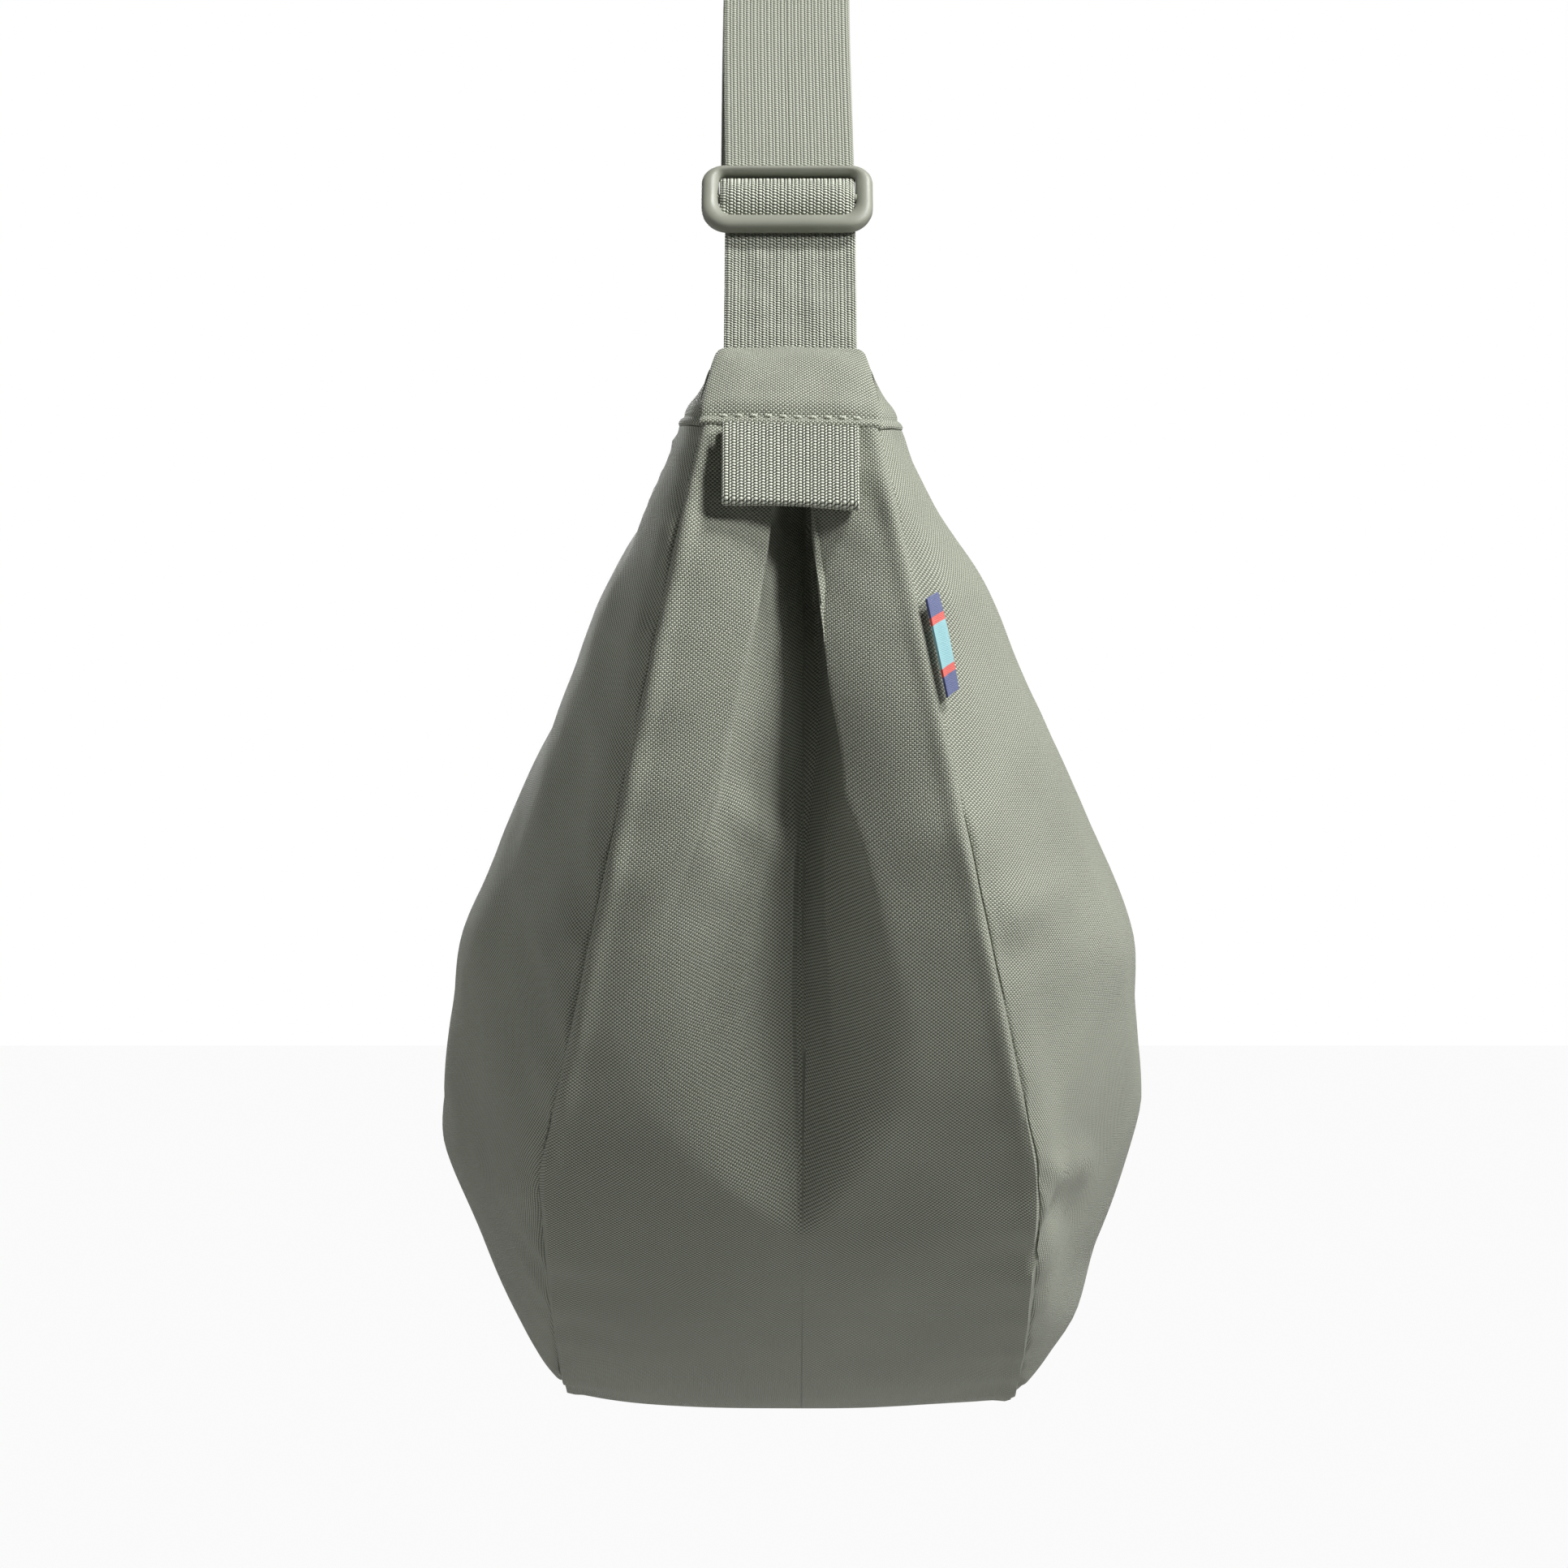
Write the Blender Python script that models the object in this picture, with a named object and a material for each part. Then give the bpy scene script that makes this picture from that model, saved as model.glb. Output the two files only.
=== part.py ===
"""Half moon shoulder bag, hanging by its webbing strap.

Metres, +Z up. The bag's length runs along Y, its thickness along X. The origin is the inner
face of the strap at its highest point, where a hand, hook or shoulder carries it. The near
end, at -Y, has the strap adjuster; the far end, at +Y, has the ring that the strap returns from.
"""

import math

import bmesh
import bpy
import numpy as np

# Webbing strap
WEBBING_WIDTH = 0.038
WEBBING_THICKNESS = 0.0016
STRAP_DROP = 0.282
HANG_RADIUS = 0.045
CAP_HALF_SPAN = 0.196
ROOT_LENGTH = 0.0418
ROOT_IN_CAP = 0.016

# Clearances between neighbouring pieces
CLEARANCE = 0.0003
RUNNING_GAP = 0.0005

# Bag body: an outer arc for the base, an inner arc for the zip
BAG_RADIUS = 0.232
HEM_ABOVE_CENTRE = 0.075
CAP_HEIGHT = 0.023
BULGE_STATIONS = (0.0, 0.2, 0.3, 0.4, 0.5, 0.6, 0.7, 0.8, 0.9, 1.0)
BULGE_HALF_WIDTHS = (0.117, 0.1148, 0.1110, 0.1050, 0.0960, 0.0840, 0.0712, 0.0583, 0.0450, 0.0318)
BASE_HALF_WIDTH = 0.074
HORN_BASE_HALF_WIDTH = 0.0256
BASE_CROWN = 0.0012
BASE_FLAT_RISE = 0.0036
FABRIC_THICKNESS = 0.0012
LINING_THICKNESS = 0.0006
HEM_PROUD = 0.0009

# Sunken pleat at each end of the base strip
PLEAT_LINE_X = 0.0035
PLEAT_LEFT_REACHES = (0.030, 0.010, 0.022, 0.0365, 0.030, 0.024, 0.0175, 0.012, 0.008)
PLEAT_RIGHT_REACHES = (0.025, 0.008, 0.013, 0.0200, 0.014, 0.011, 0.0095, 0.008, 0.007)
PLEAT_DEPTHS = (0.000, 0.000, 0.008, 0.0160, 0.019, 0.020, 0.0170, 0.011, 0.003)

# Zip
ZIP_HALF_CHORD = 0.163
ZIP_SAG = 0.075
ZIP_END_RISE = 0.004
ZIP_WINDOW_HALF = 0.007
ZIP_LIP_HALF = 0.0130
COIL_GAP_HALF = 0.0009
COIL_WIDTH = 0.0023
COIL_ABOVE_LIP = 0.0009
TAPE_THICKNESS = 0.0007
TAPE_INSET = 0.0022
STOP_LENGTH = 0.0040
STOP_HEIGHT = 0.0026
SLIDER_LENGTH = 0.0130
SLIDER_WIDTH = 0.0100
SLIDER_PLATE = 0.0012
SLIDER_FLANGE = 0.0008
FLANGE_INSET = 0.0003
POST_WIDTH = 0.0011
POST_LENGTH = 0.0050
BAIL_LENGTH = 0.0092
BAIL_WIDTH = 0.0015
BAIL_WIRE = 0.0014
BAIL_SPACE = 0.0026
PIVOT_DIAMETER = 0.0015
PULLER_ARM_GAP = 0.0034
PULLER_ARM_WIDTH = 0.0016
PULLER_ARM_LENGTH = 0.0068
PULLER_LENGTH = 0.0260
PULLER_WIDTH = 0.0085
PULLER_THICKNESS = 0.0018
PULLER_EYE = 0.0036
PULLER_LIFT = math.radians(4.5)

# Strap adjuster, a moulded frame with a centre bar
ADJUSTER_WIDTH = 0.0500
ADJUSTER_HEIGHT = 0.0232
ADJUSTER_CORNER = 0.0075
ADJUSTER_THICKNESS = 0.0040
ADJUSTER_SIDE_BAR = 0.0050
ADJUSTER_TOP_BAR = 0.0038
ADJUSTER_LOW_BAR = 0.0060
CENTRE_BAR_DIAMETER = 0.0028
CENTRE_BAR_SINK = 0.0004
BAR_OVERRUN = 0.0020
TURN_END_GAP = 0.0008

# Ring at the far end
RING_WIRE = 0.0034
RING_INSIDE_WIDTH = 0.0410
RING_PITCH = 0.0120
RING_START = 0.0260
RING_CORNER = 0.0030
WRAP_TAPER = 0.0130

# Webbing tabs under the caps
TAB_LENGTH = 0.0232
TAB_FOLD_GAP = 0.0010
TAB_STAND_OFF = 0.0027
TAB_BELOW_HEM = 0.0009

# Woven label in the front seam, near the adjuster end
LABEL_LENGTH = 0.0275
LABEL_WIDTH = 0.0050
LABEL_THICKNESS = 0.0007
LABEL_BELOW_HEM = 0.0510

# Hem stitches on the caps
STITCH_LENGTH = 0.0029
STITCH_PITCH = 0.00415
STITCH_DIP = 0.0002
STITCH_THREAD = 0.0006
STITCH_ABOVE_HEM = 0.0032

# Shares of a size, and counts
BULGE_AT_SHARE = 0.60
BULGE_RISE_POWER = 0.50
BULGE_FALL_POWER = 1.4
SEAM_DEPTH_SHARE = 0.985
BASE_FULL_SHARE = 0.48
PLEAT_STATIONS = (0.0, 0.435, 0.49, 0.556, 0.66, 0.763, 0.854, 0.932, 1.0)
PLEAT_WALL_SHARE = 0.50
PLEAT_WALL_SINK_SHARE = 0.60
ZIP_TAPE_SHARE = 0.985
ZIP_COIL_SHARE = 0.93
CAP_SIDE_ON_INNER_LIP_SHARE = 0.80
CAP_ROUNDING_POWER = 1.15
STITCHED_SHARE = 0.92
STITCH_LOW_SHARE = 0.4
ROW_CELLS = 30
SIDE_CELLS = 8
CAP_CELLS = 4
ARC_STEPS = 10
TURN_STEPS = 8
WIRE_SIDES = 8

SAGE = (0.215, 0.225, 0.175)
SAGE_DARK = (0.150, 0.158, 0.120)
MATERIAL_LOOKS = {
    "shell_fabric": (SAGE, 0.72, 0.0),
    "lining_fabric": ((0.33, 0.35, 0.30), 0.85, 0.0),
    "webbing": ((0.290, 0.305, 0.240), 0.80, 0.0),
    "moulding": ((0.225, 0.240, 0.180), 0.45, 0.0),
    "zip_tape": (SAGE_DARK, 0.80, 0.0),
    "zip_coil": (SAGE_DARK, 0.55, 0.0),
    "zip_metal": ((0.18, 0.19, 0.15), 0.40, 0.6),
    "thread": ((0.260, 0.270, 0.210), 0.70, 0.0),
    "label": ((0.30, 0.62, 0.68), 0.60, 0.0),
}

# Heights that follow from the sizes above
CAP_TOP_Z = -STRAP_DROP
HEM_Z = CAP_TOP_Z - CAP_HEIGHT
BAG_CENTRE_Z = HEM_Z - HEM_ABOVE_CENTRE
HEM_ANGLE = math.acos(-HEM_ABOVE_CENTRE / BAG_RADIUS)
ZIP_RADIUS = (ZIP_HALF_CHORD**2 + ZIP_SAG**2) / (2 * ZIP_SAG)
ZIP_CENTRE_Z = HEM_Z + ZIP_END_RISE + ZIP_RADIUS - ZIP_SAG
ZIP_ANGLE = math.asin(ZIP_HALF_CHORD / ZIP_RADIUS)
LAYER_PITCH = WEBBING_THICKNESS + CLEARANCE
INNER_LAYER_RADIUS = HANG_RADIUS + WEBBING_THICKNESS / 2
OUTER_LAYER_RADIUS = INNER_LAYER_RADIUS + LAYER_PITCH


def clear_scene():
    for scene_object in list(bpy.data.objects):
        bpy.data.objects.remove(scene_object)


def look(name):
    """The Principled material of that name, made once."""
    material = bpy.data.materials.get(name)
    if material is None:
        colour, roughness, metallic = MATERIAL_LOOKS[name]
        material = bpy.data.materials.new(name)
        material.use_nodes = True
        shader = material.node_tree.nodes["Principled BSDF"]
        shader.inputs["Base Color"].default_value = (*colour, 1.0)
        shader.inputs["Roughness"].default_value = roughness
        shader.inputs["Metallic"].default_value = metallic
    return material


def finish(name, mesh_data, material, smooth=True):
    """Turns bmesh data into a named object with outward faces."""
    bmesh.ops.recalc_face_normals(mesh_data, faces=mesh_data.faces)
    mesh = bpy.data.meshes.new(name)
    mesh_data.to_mesh(mesh)
    mesh_data.free()
    mesh.materials.append(look(material))
    if smooth:
        mesh.shade_smooth()
        mesh.set_sharp_from_angle(angle=math.radians(40))
    made = bpy.data.objects.new(name, mesh)
    bpy.context.scene.collection.objects.link(made)
    return made


def shell(name, outer, inner, material, smooth=True):
    """A closed sheet of cloth between two grids of points of the same size."""
    rows, columns = len(outer), len(outer[0])
    mesh_data = bmesh.new()
    top = [[mesh_data.verts.new(point) for point in row] for row in outer]
    low = [[mesh_data.verts.new(point) for point in row] for row in inner]
    for i in range(rows - 1):
        for j in range(columns - 1):
            mesh_data.faces.new((top[i][j], top[i][j + 1], top[i + 1][j + 1], top[i + 1][j]))
            mesh_data.faces.new((low[i][j], low[i + 1][j], low[i + 1][j + 1], low[i][j + 1]))
    for i in range(rows - 1):
        for j in (0, columns - 1):
            mesh_data.faces.new((top[i][j], top[i + 1][j], low[i + 1][j], low[i][j]))
    for j in range(columns - 1):
        for i in (0, rows - 1):
            mesh_data.faces.new((top[i][j], low[i][j], low[i][j + 1], top[i][j + 1]))
    return finish(name, mesh_data, material, smooth)


def ribbon(name, path, thickness, width, material, middle_x=0.0):
    """A flat band of webbing or tape whose centre line is a list of (y, z) points."""
    mesh_data = bmesh.new()
    rings = []
    for index, (y, z) in enumerate(path):
        before = path[max(index - 1, 0)]
        after = path[min(index + 1, len(path) - 1)]
        step_in = np.array((y - before[0], z - before[1]))
        step_out = np.array((after[0] - y, after[1] - z))
        lengths = [np.linalg.norm(step_in), np.linalg.norm(step_out)]
        steps = [s / n for s, n in zip((step_in, step_out), lengths) if n > 0]
        along = sum(steps) / len(steps)
        stretch = 1 / max(np.dot(along, along), 0.25)
        across = np.array((-along[1], along[0])) * stretch * thickness / 2
        ring = []
        for side_x, side_n in ((-1, -1), (1, -1), (1, 1), (-1, 1)):
            point = np.array((y, z)) + side_n * across
            ring.append(mesh_data.verts.new((middle_x + side_x * width / 2, point[0], point[1])))
        rings.append(ring)
    for ring, following in zip(rings, rings[1:]):
        for k in range(4):
            mesh_data.faces.new((ring[k], ring[(k + 1) % 4], following[(k + 1) % 4], following[k]))
    mesh_data.faces.new(rings[0])
    mesh_data.faces.new(rings[-1])
    return finish(name, mesh_data, material)


def swept_loop(name, outline, halves, half_thickness, place, material):
    """A closed moulded frame: a chamfered section swept round a flat outline.

    outline is a list of (x, s) points, halves the section's half width at each of them, and
    place turns (x, s, n) into a point of the bag.
    """
    chamfer_share = 0.45
    count = len(outline)
    mesh_data = bmesh.new()
    rings = []
    for index, (x, s) in enumerate(outline):
        before = np.array(outline[index - 1])
        after = np.array(outline[(index + 1) % count])
        along = (after - before) / np.linalg.norm(after - before)
        side = np.array((along[1], -along[0]))
        a, b = halves[index], half_thickness
        c, d = a * (1 - chamfer_share), b * (1 - chamfer_share)
        section = ((a, d), (c, b), (-c, b), (-a, d), (-a, -d), (-c, -b), (c, -b), (a, -d))
        ring = []
        for out, up in section:
            spot = np.array((x, s)) + side * out
            ring.append(mesh_data.verts.new(place(spot[0], spot[1], up)))
        rings.append(ring)
    for index, ring in enumerate(rings):
        following = rings[(index + 1) % count]
        for k in range(8):
            mesh_data.faces.new((ring[k], ring[(k + 1) % 8], following[(k + 1) % 8], following[k]))
    return finish(name, mesh_data, material)


def block_data(low, high, place):
    """Six-sided bmesh data between two corners, put in place by a function."""
    mesh_data = bmesh.new()
    corners = {}
    for i in (0, 1):
        for j in (0, 1):
            for k in (0, 1):
                spot = ((low[0], high[0])[i], (low[1], high[1])[j], (low[2], high[2])[k])
                corners[i, j, k] = mesh_data.verts.new(place(*spot))
    for axis in range(3):
        for side in (0, 1):
            ring = []
            for a, b in ((0, 0), (1, 0), (1, 1), (0, 1)):
                key = [a, b]
                key.insert(axis, side)
                ring.append(corners[tuple(key)])
            mesh_data.faces.new(ring)
    return mesh_data


def rod_data(half_length, radius, centre, place, sides=WIRE_SIDES):
    """A round bar along X."""
    mesh_data = bmesh.new()
    ends = []
    for x in (-half_length, half_length):
        ring = []
        for k in range(sides):
            angle = 2 * math.pi * (k + 0.5) / sides
            spot = (x, centre[0] + radius * math.cos(angle), centre[1] + radius * math.sin(angle))
            ring.append(mesh_data.verts.new(place(*spot)))
        ends.append(ring)
    for k in range(sides):
        following = (k + 1) % sides
        mesh_data.faces.new((ends[0][k], ends[0][following], ends[1][following], ends[1][k]))
    mesh_data.faces.new(ends[0])
    mesh_data.faces.new(ends[1])
    return mesh_data


def join(base, extra_name, mesh_data, operation="UNION"):
    """Adds or cuts one shape with a Boolean, and hides the shape that was used."""
    material = base.data.materials[0].name
    tool = finish(base.name + "_" + extra_name, mesh_data, material, smooth=False)
    tool.hide_render = True
    tool.display_type = "WIRE"
    modifier = base.modifiers.new(extra_name, "BOOLEAN")
    modifier.operation = operation
    modifier.object = tool


# Frames: the two strap legs, the zip's arc and the bag's surface


def leg_lean():
    """Angle of the strap's legs from the vertical, where they are tangent to the hang arc."""
    rise = STRAP_DROP - HANG_RADIUS
    reach = math.hypot(CAP_HALF_SPAN, rise)
    return math.atan2(CAP_HALF_SPAN, rise) - math.asin(OUTER_LAYER_RADIUS / reach)


LEAN = leg_lean()
LEG_LENGTH = math.sqrt(
    CAP_HALF_SPAN**2 + (STRAP_DROP - HANG_RADIUS) ** 2 - OUTER_LAYER_RADIUS**2
)


def leg_place(end):
    """Maps (x, s, n) on a strap leg: s up from the cap's top edge, n out from the webbing."""

    def place(x, s, n):
        y = CAP_HALF_SPAN - s * math.sin(LEAN) + n * math.cos(LEAN)
        z = CAP_TOP_Z + s * math.cos(LEAN) + n * math.sin(LEAN)
        return (x, end * y, z)

    return place


def leg_path(end, points):
    """(s, n) points of a strap leg as (y, z)."""
    place = leg_place(end)
    return [place(0.0, s, n)[1:] for s, n in points]


def zip_place(angle):
    """Maps (x, t, h) at an angle of the zip's arc: t along it, h up out of the bag."""

    def place(x, t, h):
        turned = angle + t / ZIP_RADIUS
        radius = ZIP_RADIUS - h
        return (x, radius * math.sin(turned), ZIP_CENTRE_Z - radius * math.cos(turned))

    return place


def zip_flat_place(angle):
    """As zip_place, for rigid pieces: t runs straight along the tangent."""

    def place(x, t, h):
        radius = ZIP_RADIUS - h
        y = radius * math.sin(angle) + t * math.cos(angle)
        z = ZIP_CENTRE_Z - radius * math.cos(angle) + t * math.sin(angle)
        return (x, y, z)

    return place


def smooth_step(value):
    value = min(max(value, 0.0), 1.0)
    return value * value * (3 - 2 * value)


def bulge_at(u):
    """Half the bag's thickness at its fullest, at share u of the way from middle to hem."""
    return float(np.interp(abs(u), BULGE_STATIONS, BULGE_HALF_WIDTHS))


def base_half_at(u):
    """Half the width of the base strip: full along the bottom, narrowing up to the hems."""
    growth = min((1 - abs(u)) / (1 - BASE_FULL_SHARE), 1.0)
    return HORN_BASE_HALF_WIDTH + (BASE_HALF_WIDTH - HORN_BASE_HALF_WIDTH) * growth


def section_axis(u):
    """Start on the zip's arc and unit direction to the outer arc, both (y, z), and the depth."""
    zip_angle, outer_angle = u * ZIP_ANGLE, u * HEM_ANGLE
    start = np.array((ZIP_RADIUS * math.sin(zip_angle), ZIP_CENTRE_Z - ZIP_RADIUS * math.cos(zip_angle)))
    end = np.array((BAG_RADIUS * math.sin(outer_angle), BAG_CENTRE_Z - BAG_RADIUS * math.cos(outer_angle)))
    depth = np.linalg.norm(end - start)
    return start, (end - start) / depth, depth


def side_point(u, t, side):
    """Outer face of a side panel: t is 0 at the zip's lip and 1 at the base seam."""
    start, direction, depth = section_axis(u)
    bulge, seam = bulge_at(u), base_half_at(u)
    if t < BULGE_AT_SHARE:
        swell = math.sin(math.pi / 2 * t / BULGE_AT_SHARE) ** BULGE_RISE_POWER if t > 0 else 0.0
        x = ZIP_LIP_HALF + (bulge - ZIP_LIP_HALF) * swell
    else:
        fall = (t - BULGE_AT_SHARE) / (1 - BULGE_AT_SHARE)
        x = seam + (bulge - seam) * (1 - fall**BULGE_FALL_POWER)
    spot = start + direction * depth * SEAM_DEPTH_SHARE * t
    return np.array((side * x, spot[0], spot[1]))


def pleat_at(u):
    """How far the pleat's ridges stand from its line, to -X and to +X, and how deep it is."""
    tables = (PLEAT_LEFT_REACHES, PLEAT_RIGHT_REACHES, PLEAT_DEPTHS)
    return [float(np.interp(abs(u), PLEAT_STATIONS, table)) for table in tables]


def base_columns(u):
    """(x, sunk) for each column of the base strip, from the +X seam to the -X seam."""
    half = base_half_at(u)
    left, right, depth = pleat_at(u)
    line = PLEAT_LINE_X
    wall, sink = PLEAT_WALL_SHARE, PLEAT_WALL_SINK_SHARE * depth
    columns = [(half, 0.0), ((half + line + right) / 2, 0.0)]
    columns += [(line + right, 0.0), (line + right * wall, sink), (line, depth)]
    columns += [(line - left * wall, sink), (line - left, 0.0)]
    columns += [((line - left - half) / 2, 0.0), (-half, 0.0)]
    return columns


def base_point(u, x, sunk):
    """Outer face of the base strip at width x, sunk by the pleat."""
    start, direction, depth = section_axis(u)
    share = x / base_half_at(u)
    crown = (1 - SEAM_DEPTH_SHARE) * depth * (1 - share**2)
    bottom = BASE_CROWN * (1 - share**2) * smooth_step(1 - abs(u) / BASE_FULL_SHARE)
    spot = start + direction * (depth * SEAM_DEPTH_SHARE + crown + bottom - sunk)
    return np.array((x, spot[0], spot[1]))


def body_row(u):
    """One section of the bag's outer face, from the front zip lip round to the rear one."""
    start = section_axis(u)[0]
    front = [np.array((ZIP_WINDOW_HALF, start[0], start[1]))]
    front += [side_point(u, j / SIDE_CELLS, 1) for j in range(SIDE_CELLS)]
    rear = [point * np.array((-1, 1, 1)) for point in reversed(front)]
    return front + [base_point(u, x, sunk) for x, sunk in base_columns(u)] + rear


def body_grid():
    """The outer face as a grid, with the bottom pressed flat where the bag can rest."""
    grid = [body_row(2 * i / ROW_CELLS - 1) for i in range(ROW_CELLS + 1)]
    floor = min(point[2] for row in grid for point in row) + BASE_FLAT_RISE
    for row in grid:
        for point in row:
            point[2] = max(point[2], floor)
    return np.array(grid), floor


def grid_normals(grid):
    """Outward unit normals of a grid of points, from the points on either side."""
    rows = np.gradient(grid, axis=0)
    columns = np.gradient(grid, axis=1)
    unit_rows = rows / np.linalg.norm(rows, axis=2, keepdims=True)
    ahead = np.diff(grid, axis=1)
    ahead = ahead / np.linalg.norm(ahead, axis=2, keepdims=True)
    columns[:, 1:-1] = ahead[:, 1:] + ahead[:, :-1]
    normals = np.cross(columns, unit_rows)
    return normals / np.linalg.norm(normals, axis=2, keepdims=True)


SIDE_COLUMNS = SIDE_CELLS + 1
BASE_COLUMNS = 9


def trimmed(grid, first, last, trim_first, trim_last):
    """Columns first to last of a grid, with the end columns drawn in by a small gap."""
    part = np.array(grid[:, first : last + 1])
    for end, inner, gap in ((0, 1, trim_first), (-1, -2, trim_last)):
        step = part[:, inner] - part[:, end]
        step = step / np.linalg.norm(step, axis=1, keepdims=True)
        part[:, end] += step * gap
    return part


def with_hem_gap(part):
    """Draws the first and last row in, so that the caps' edges stay clear of them."""
    part = np.array(part)
    for end, inner in ((0, 1), (-1, -2)):
        step = part[inner] - part[end]
        part[end] += step / np.linalg.norm(step, axis=1, keepdims=True) * CLEARANCE / 2
    return part


def body_shells(grid, normals):
    """The three outer panels and, inside them, the three pieces of the lining."""
    seam_front = SIDE_COLUMNS
    seam_rear = SIDE_COLUMNS + BASE_COLUMNS - 1
    last = grid.shape[1] - 1
    spans = (("front", 0, seam_front), ("base", seam_front, seam_rear), ("rear", seam_rear, last))
    lining_top = FABRIC_THICKNESS + CLEARANCE
    gap = CLEARANCE / 2
    for name, first, final in spans:
        edge_first = gap if first else 0.0
        edge_final = gap if final != last else 0.0
        panel = "base_gusset" if name == "base" else name + "_panel"
        outer = with_hem_gap(trimmed(grid, first, final, edge_first, edge_final))
        inner = with_hem_gap(trimmed(grid - normals * FABRIC_THICKNESS, first, final, edge_first, edge_final))
        shell(panel, outer, inner, "shell_fabric")
        lining_first = first if first else 1
        lining_final = final if final != last else last - 1
        faces = []
        for sink in (lining_top, lining_top + LINING_THICKNESS):
            face = trimmed(grid - normals * sink, lining_first, lining_final, gap, gap)
            faces.append(with_hem_gap(face))
        shell(name + "_lining", faces[0], faces[1], "lining_fabric")


# Caps that close the horns round the ends of the strap


def cap_loops(grid, normals, row, end, layers):
    """Outer and inner loops at the hem and at the top lips, each from x = 0 round to x = 0."""
    hem_outer = grid[row] + normals[row] * HEM_PROUD
    hem_inner = grid[row] + normals[row] * (HEM_PROUD - FABRIC_THICKNESS)
    loops = []
    for hem, thick in ((hem_outer, FABRIC_THICKNESS), (hem_inner, 0.0)):
        middle = np.array((0.0, hem[0][1], hem[0][2]))
        loops.append(np.array([middle, *hem[: SIDE_COLUMNS + 1]]))
        loops.append(hem[SIDE_COLUMNS : SIDE_COLUMNS + BASE_COLUMNS])
        loops.append(np.array([*hem[SIDE_COLUMNS + BASE_COLUMNS - 1 :], middle]))
        lip = layers * WEBBING_THICKNESS / 2 + (layers - 1) * CLEARANCE / 2 + CLEARANCE + thick
        half = WEBBING_WIDTH / 2 + CLEARANCE + thick
        place = leg_place(end)
        axis_n = -(layers - 1) * LAYER_PITCH / 2
        inner_lip = []
        count = SIDE_COLUMNS + 2
        for k in range(count):
            share = k / (count - 1)
            if share < CAP_SIDE_ON_INNER_LIP_SHARE:
                spot = (half * share / CAP_SIDE_ON_INNER_LIP_SHARE, -lip)
            else:
                around = (share - CAP_SIDE_ON_INNER_LIP_SHARE) / (1 - CAP_SIDE_ON_INNER_LIP_SHARE)
                spot = (half, -lip + 2 * lip * around)
            inner_lip.append(spot)
        face_lip = [(half * (1 - 2 * k / (BASE_COLUMNS - 1)), lip) for k in range(BASE_COLUMNS)]
        front = np.array([place(x, 0.0, axis_n + n) for x, n in inner_lip])
        face = np.array([place(x, 0.0, axis_n + n) for x, n in face_lip])
        rear = np.array([place(-x, 0.0, axis_n + n) for x, n in reversed(inner_lip)])
        loops += [front, face, rear]
    return loops


def cap_pieces(grid, normals, end, layers):
    """Face, front side and rear side of one cap, butted at the hem and at their seams."""
    row = 0 if end < 0 else len(grid) - 1
    loops = cap_loops(grid, normals, row, end, layers)
    label = "near" if end < 0 else "far"
    axis = np.array(leg_place(end)(0.0, 1.0, 0.0)) - np.array(leg_place(end)(0.0, 0.0, 0.0))
    gap = CLEARANCE / 2
    for index, piece in enumerate(("cap_front_side", "cap_face", "cap_rear_side")):
        faces = []
        for hem, top in ((loops[index], loops[index + 3]), (loops[index + 6], loops[index + 9])):
            climb = (top - hem) @ axis
            across = (top - hem) - climb[:, None] * axis
            rows = []
            for k in range(CAP_CELLS + 1):
                share = k / CAP_CELLS
                rows.append(hem + climb[:, None] * axis * share + across * share**CAP_ROUNDING_POWER)
            face = trimmed(np.array(rows), 0, len(hem) - 1, gap, gap)
            face[0] += axis * CLEARANCE / 2
            faces.append(face)
        shell(label + "_" + piece, faces[0], faces[1], "shell_fabric")


def stitches(grid, normals, end):
    """One row of lockstitches along the cap's hem: one thread, proud at each stitch."""
    row = 0 if end < 0 else len(grid) - 1
    place = leg_place(end)
    count = int(2 * HORN_BASE_HALF_WIDTH * STITCHED_SHARE / STITCH_PITCH)
    hem = grid[row][SIDE_COLUMNS : SIDE_COLUMNS + BASE_COLUMNS]
    out = normals[row][SIDE_COLUMNS + BASE_COLUMNS // 2]
    axis = np.array(place(0.0, 1.0, 0.0)) - np.array(place(0.0, 0.0, 0.0))
    order = np.argsort(hem[:, 0])
    stations = []
    for k in range(count):
        middle = (k - (count - 1) / 2) * STITCH_PITCH
        for x, height in ((-STITCH_DIP, STITCH_THREAD * STITCH_LOW_SHARE), (0.0, STITCH_THREAD)):
            stations.append((middle - STITCH_LENGTH / 2 + x, height))
        for x, height in ((0.0, STITCH_THREAD), (STITCH_DIP, STITCH_THREAD * STITCH_LOW_SHARE)):
            stations.append((middle + STITCH_LENGTH / 2 + x, height))
    rows = []
    for x, height in stations:
        base = np.array([np.interp(x, hem[order, 0], hem[order, c]) for c in range(3)])
        base += axis * STITCH_ABOVE_HEM + out * (HEM_PROUD + CLEARANCE)
        rows.append([base + axis * STITCH_THREAD * up for up in (0, 1)])
        rows[-1] = [spot + out * height for spot in rows[-1]] + rows[-1]
    outer = [row_points[:2] for row_points in rows]
    inner = [row_points[2:] for row_points in rows]
    label = "near" if end < 0 else "far"
    shell(label + "_hem_stitches", outer, inner, "thread", smooth=False)


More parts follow.
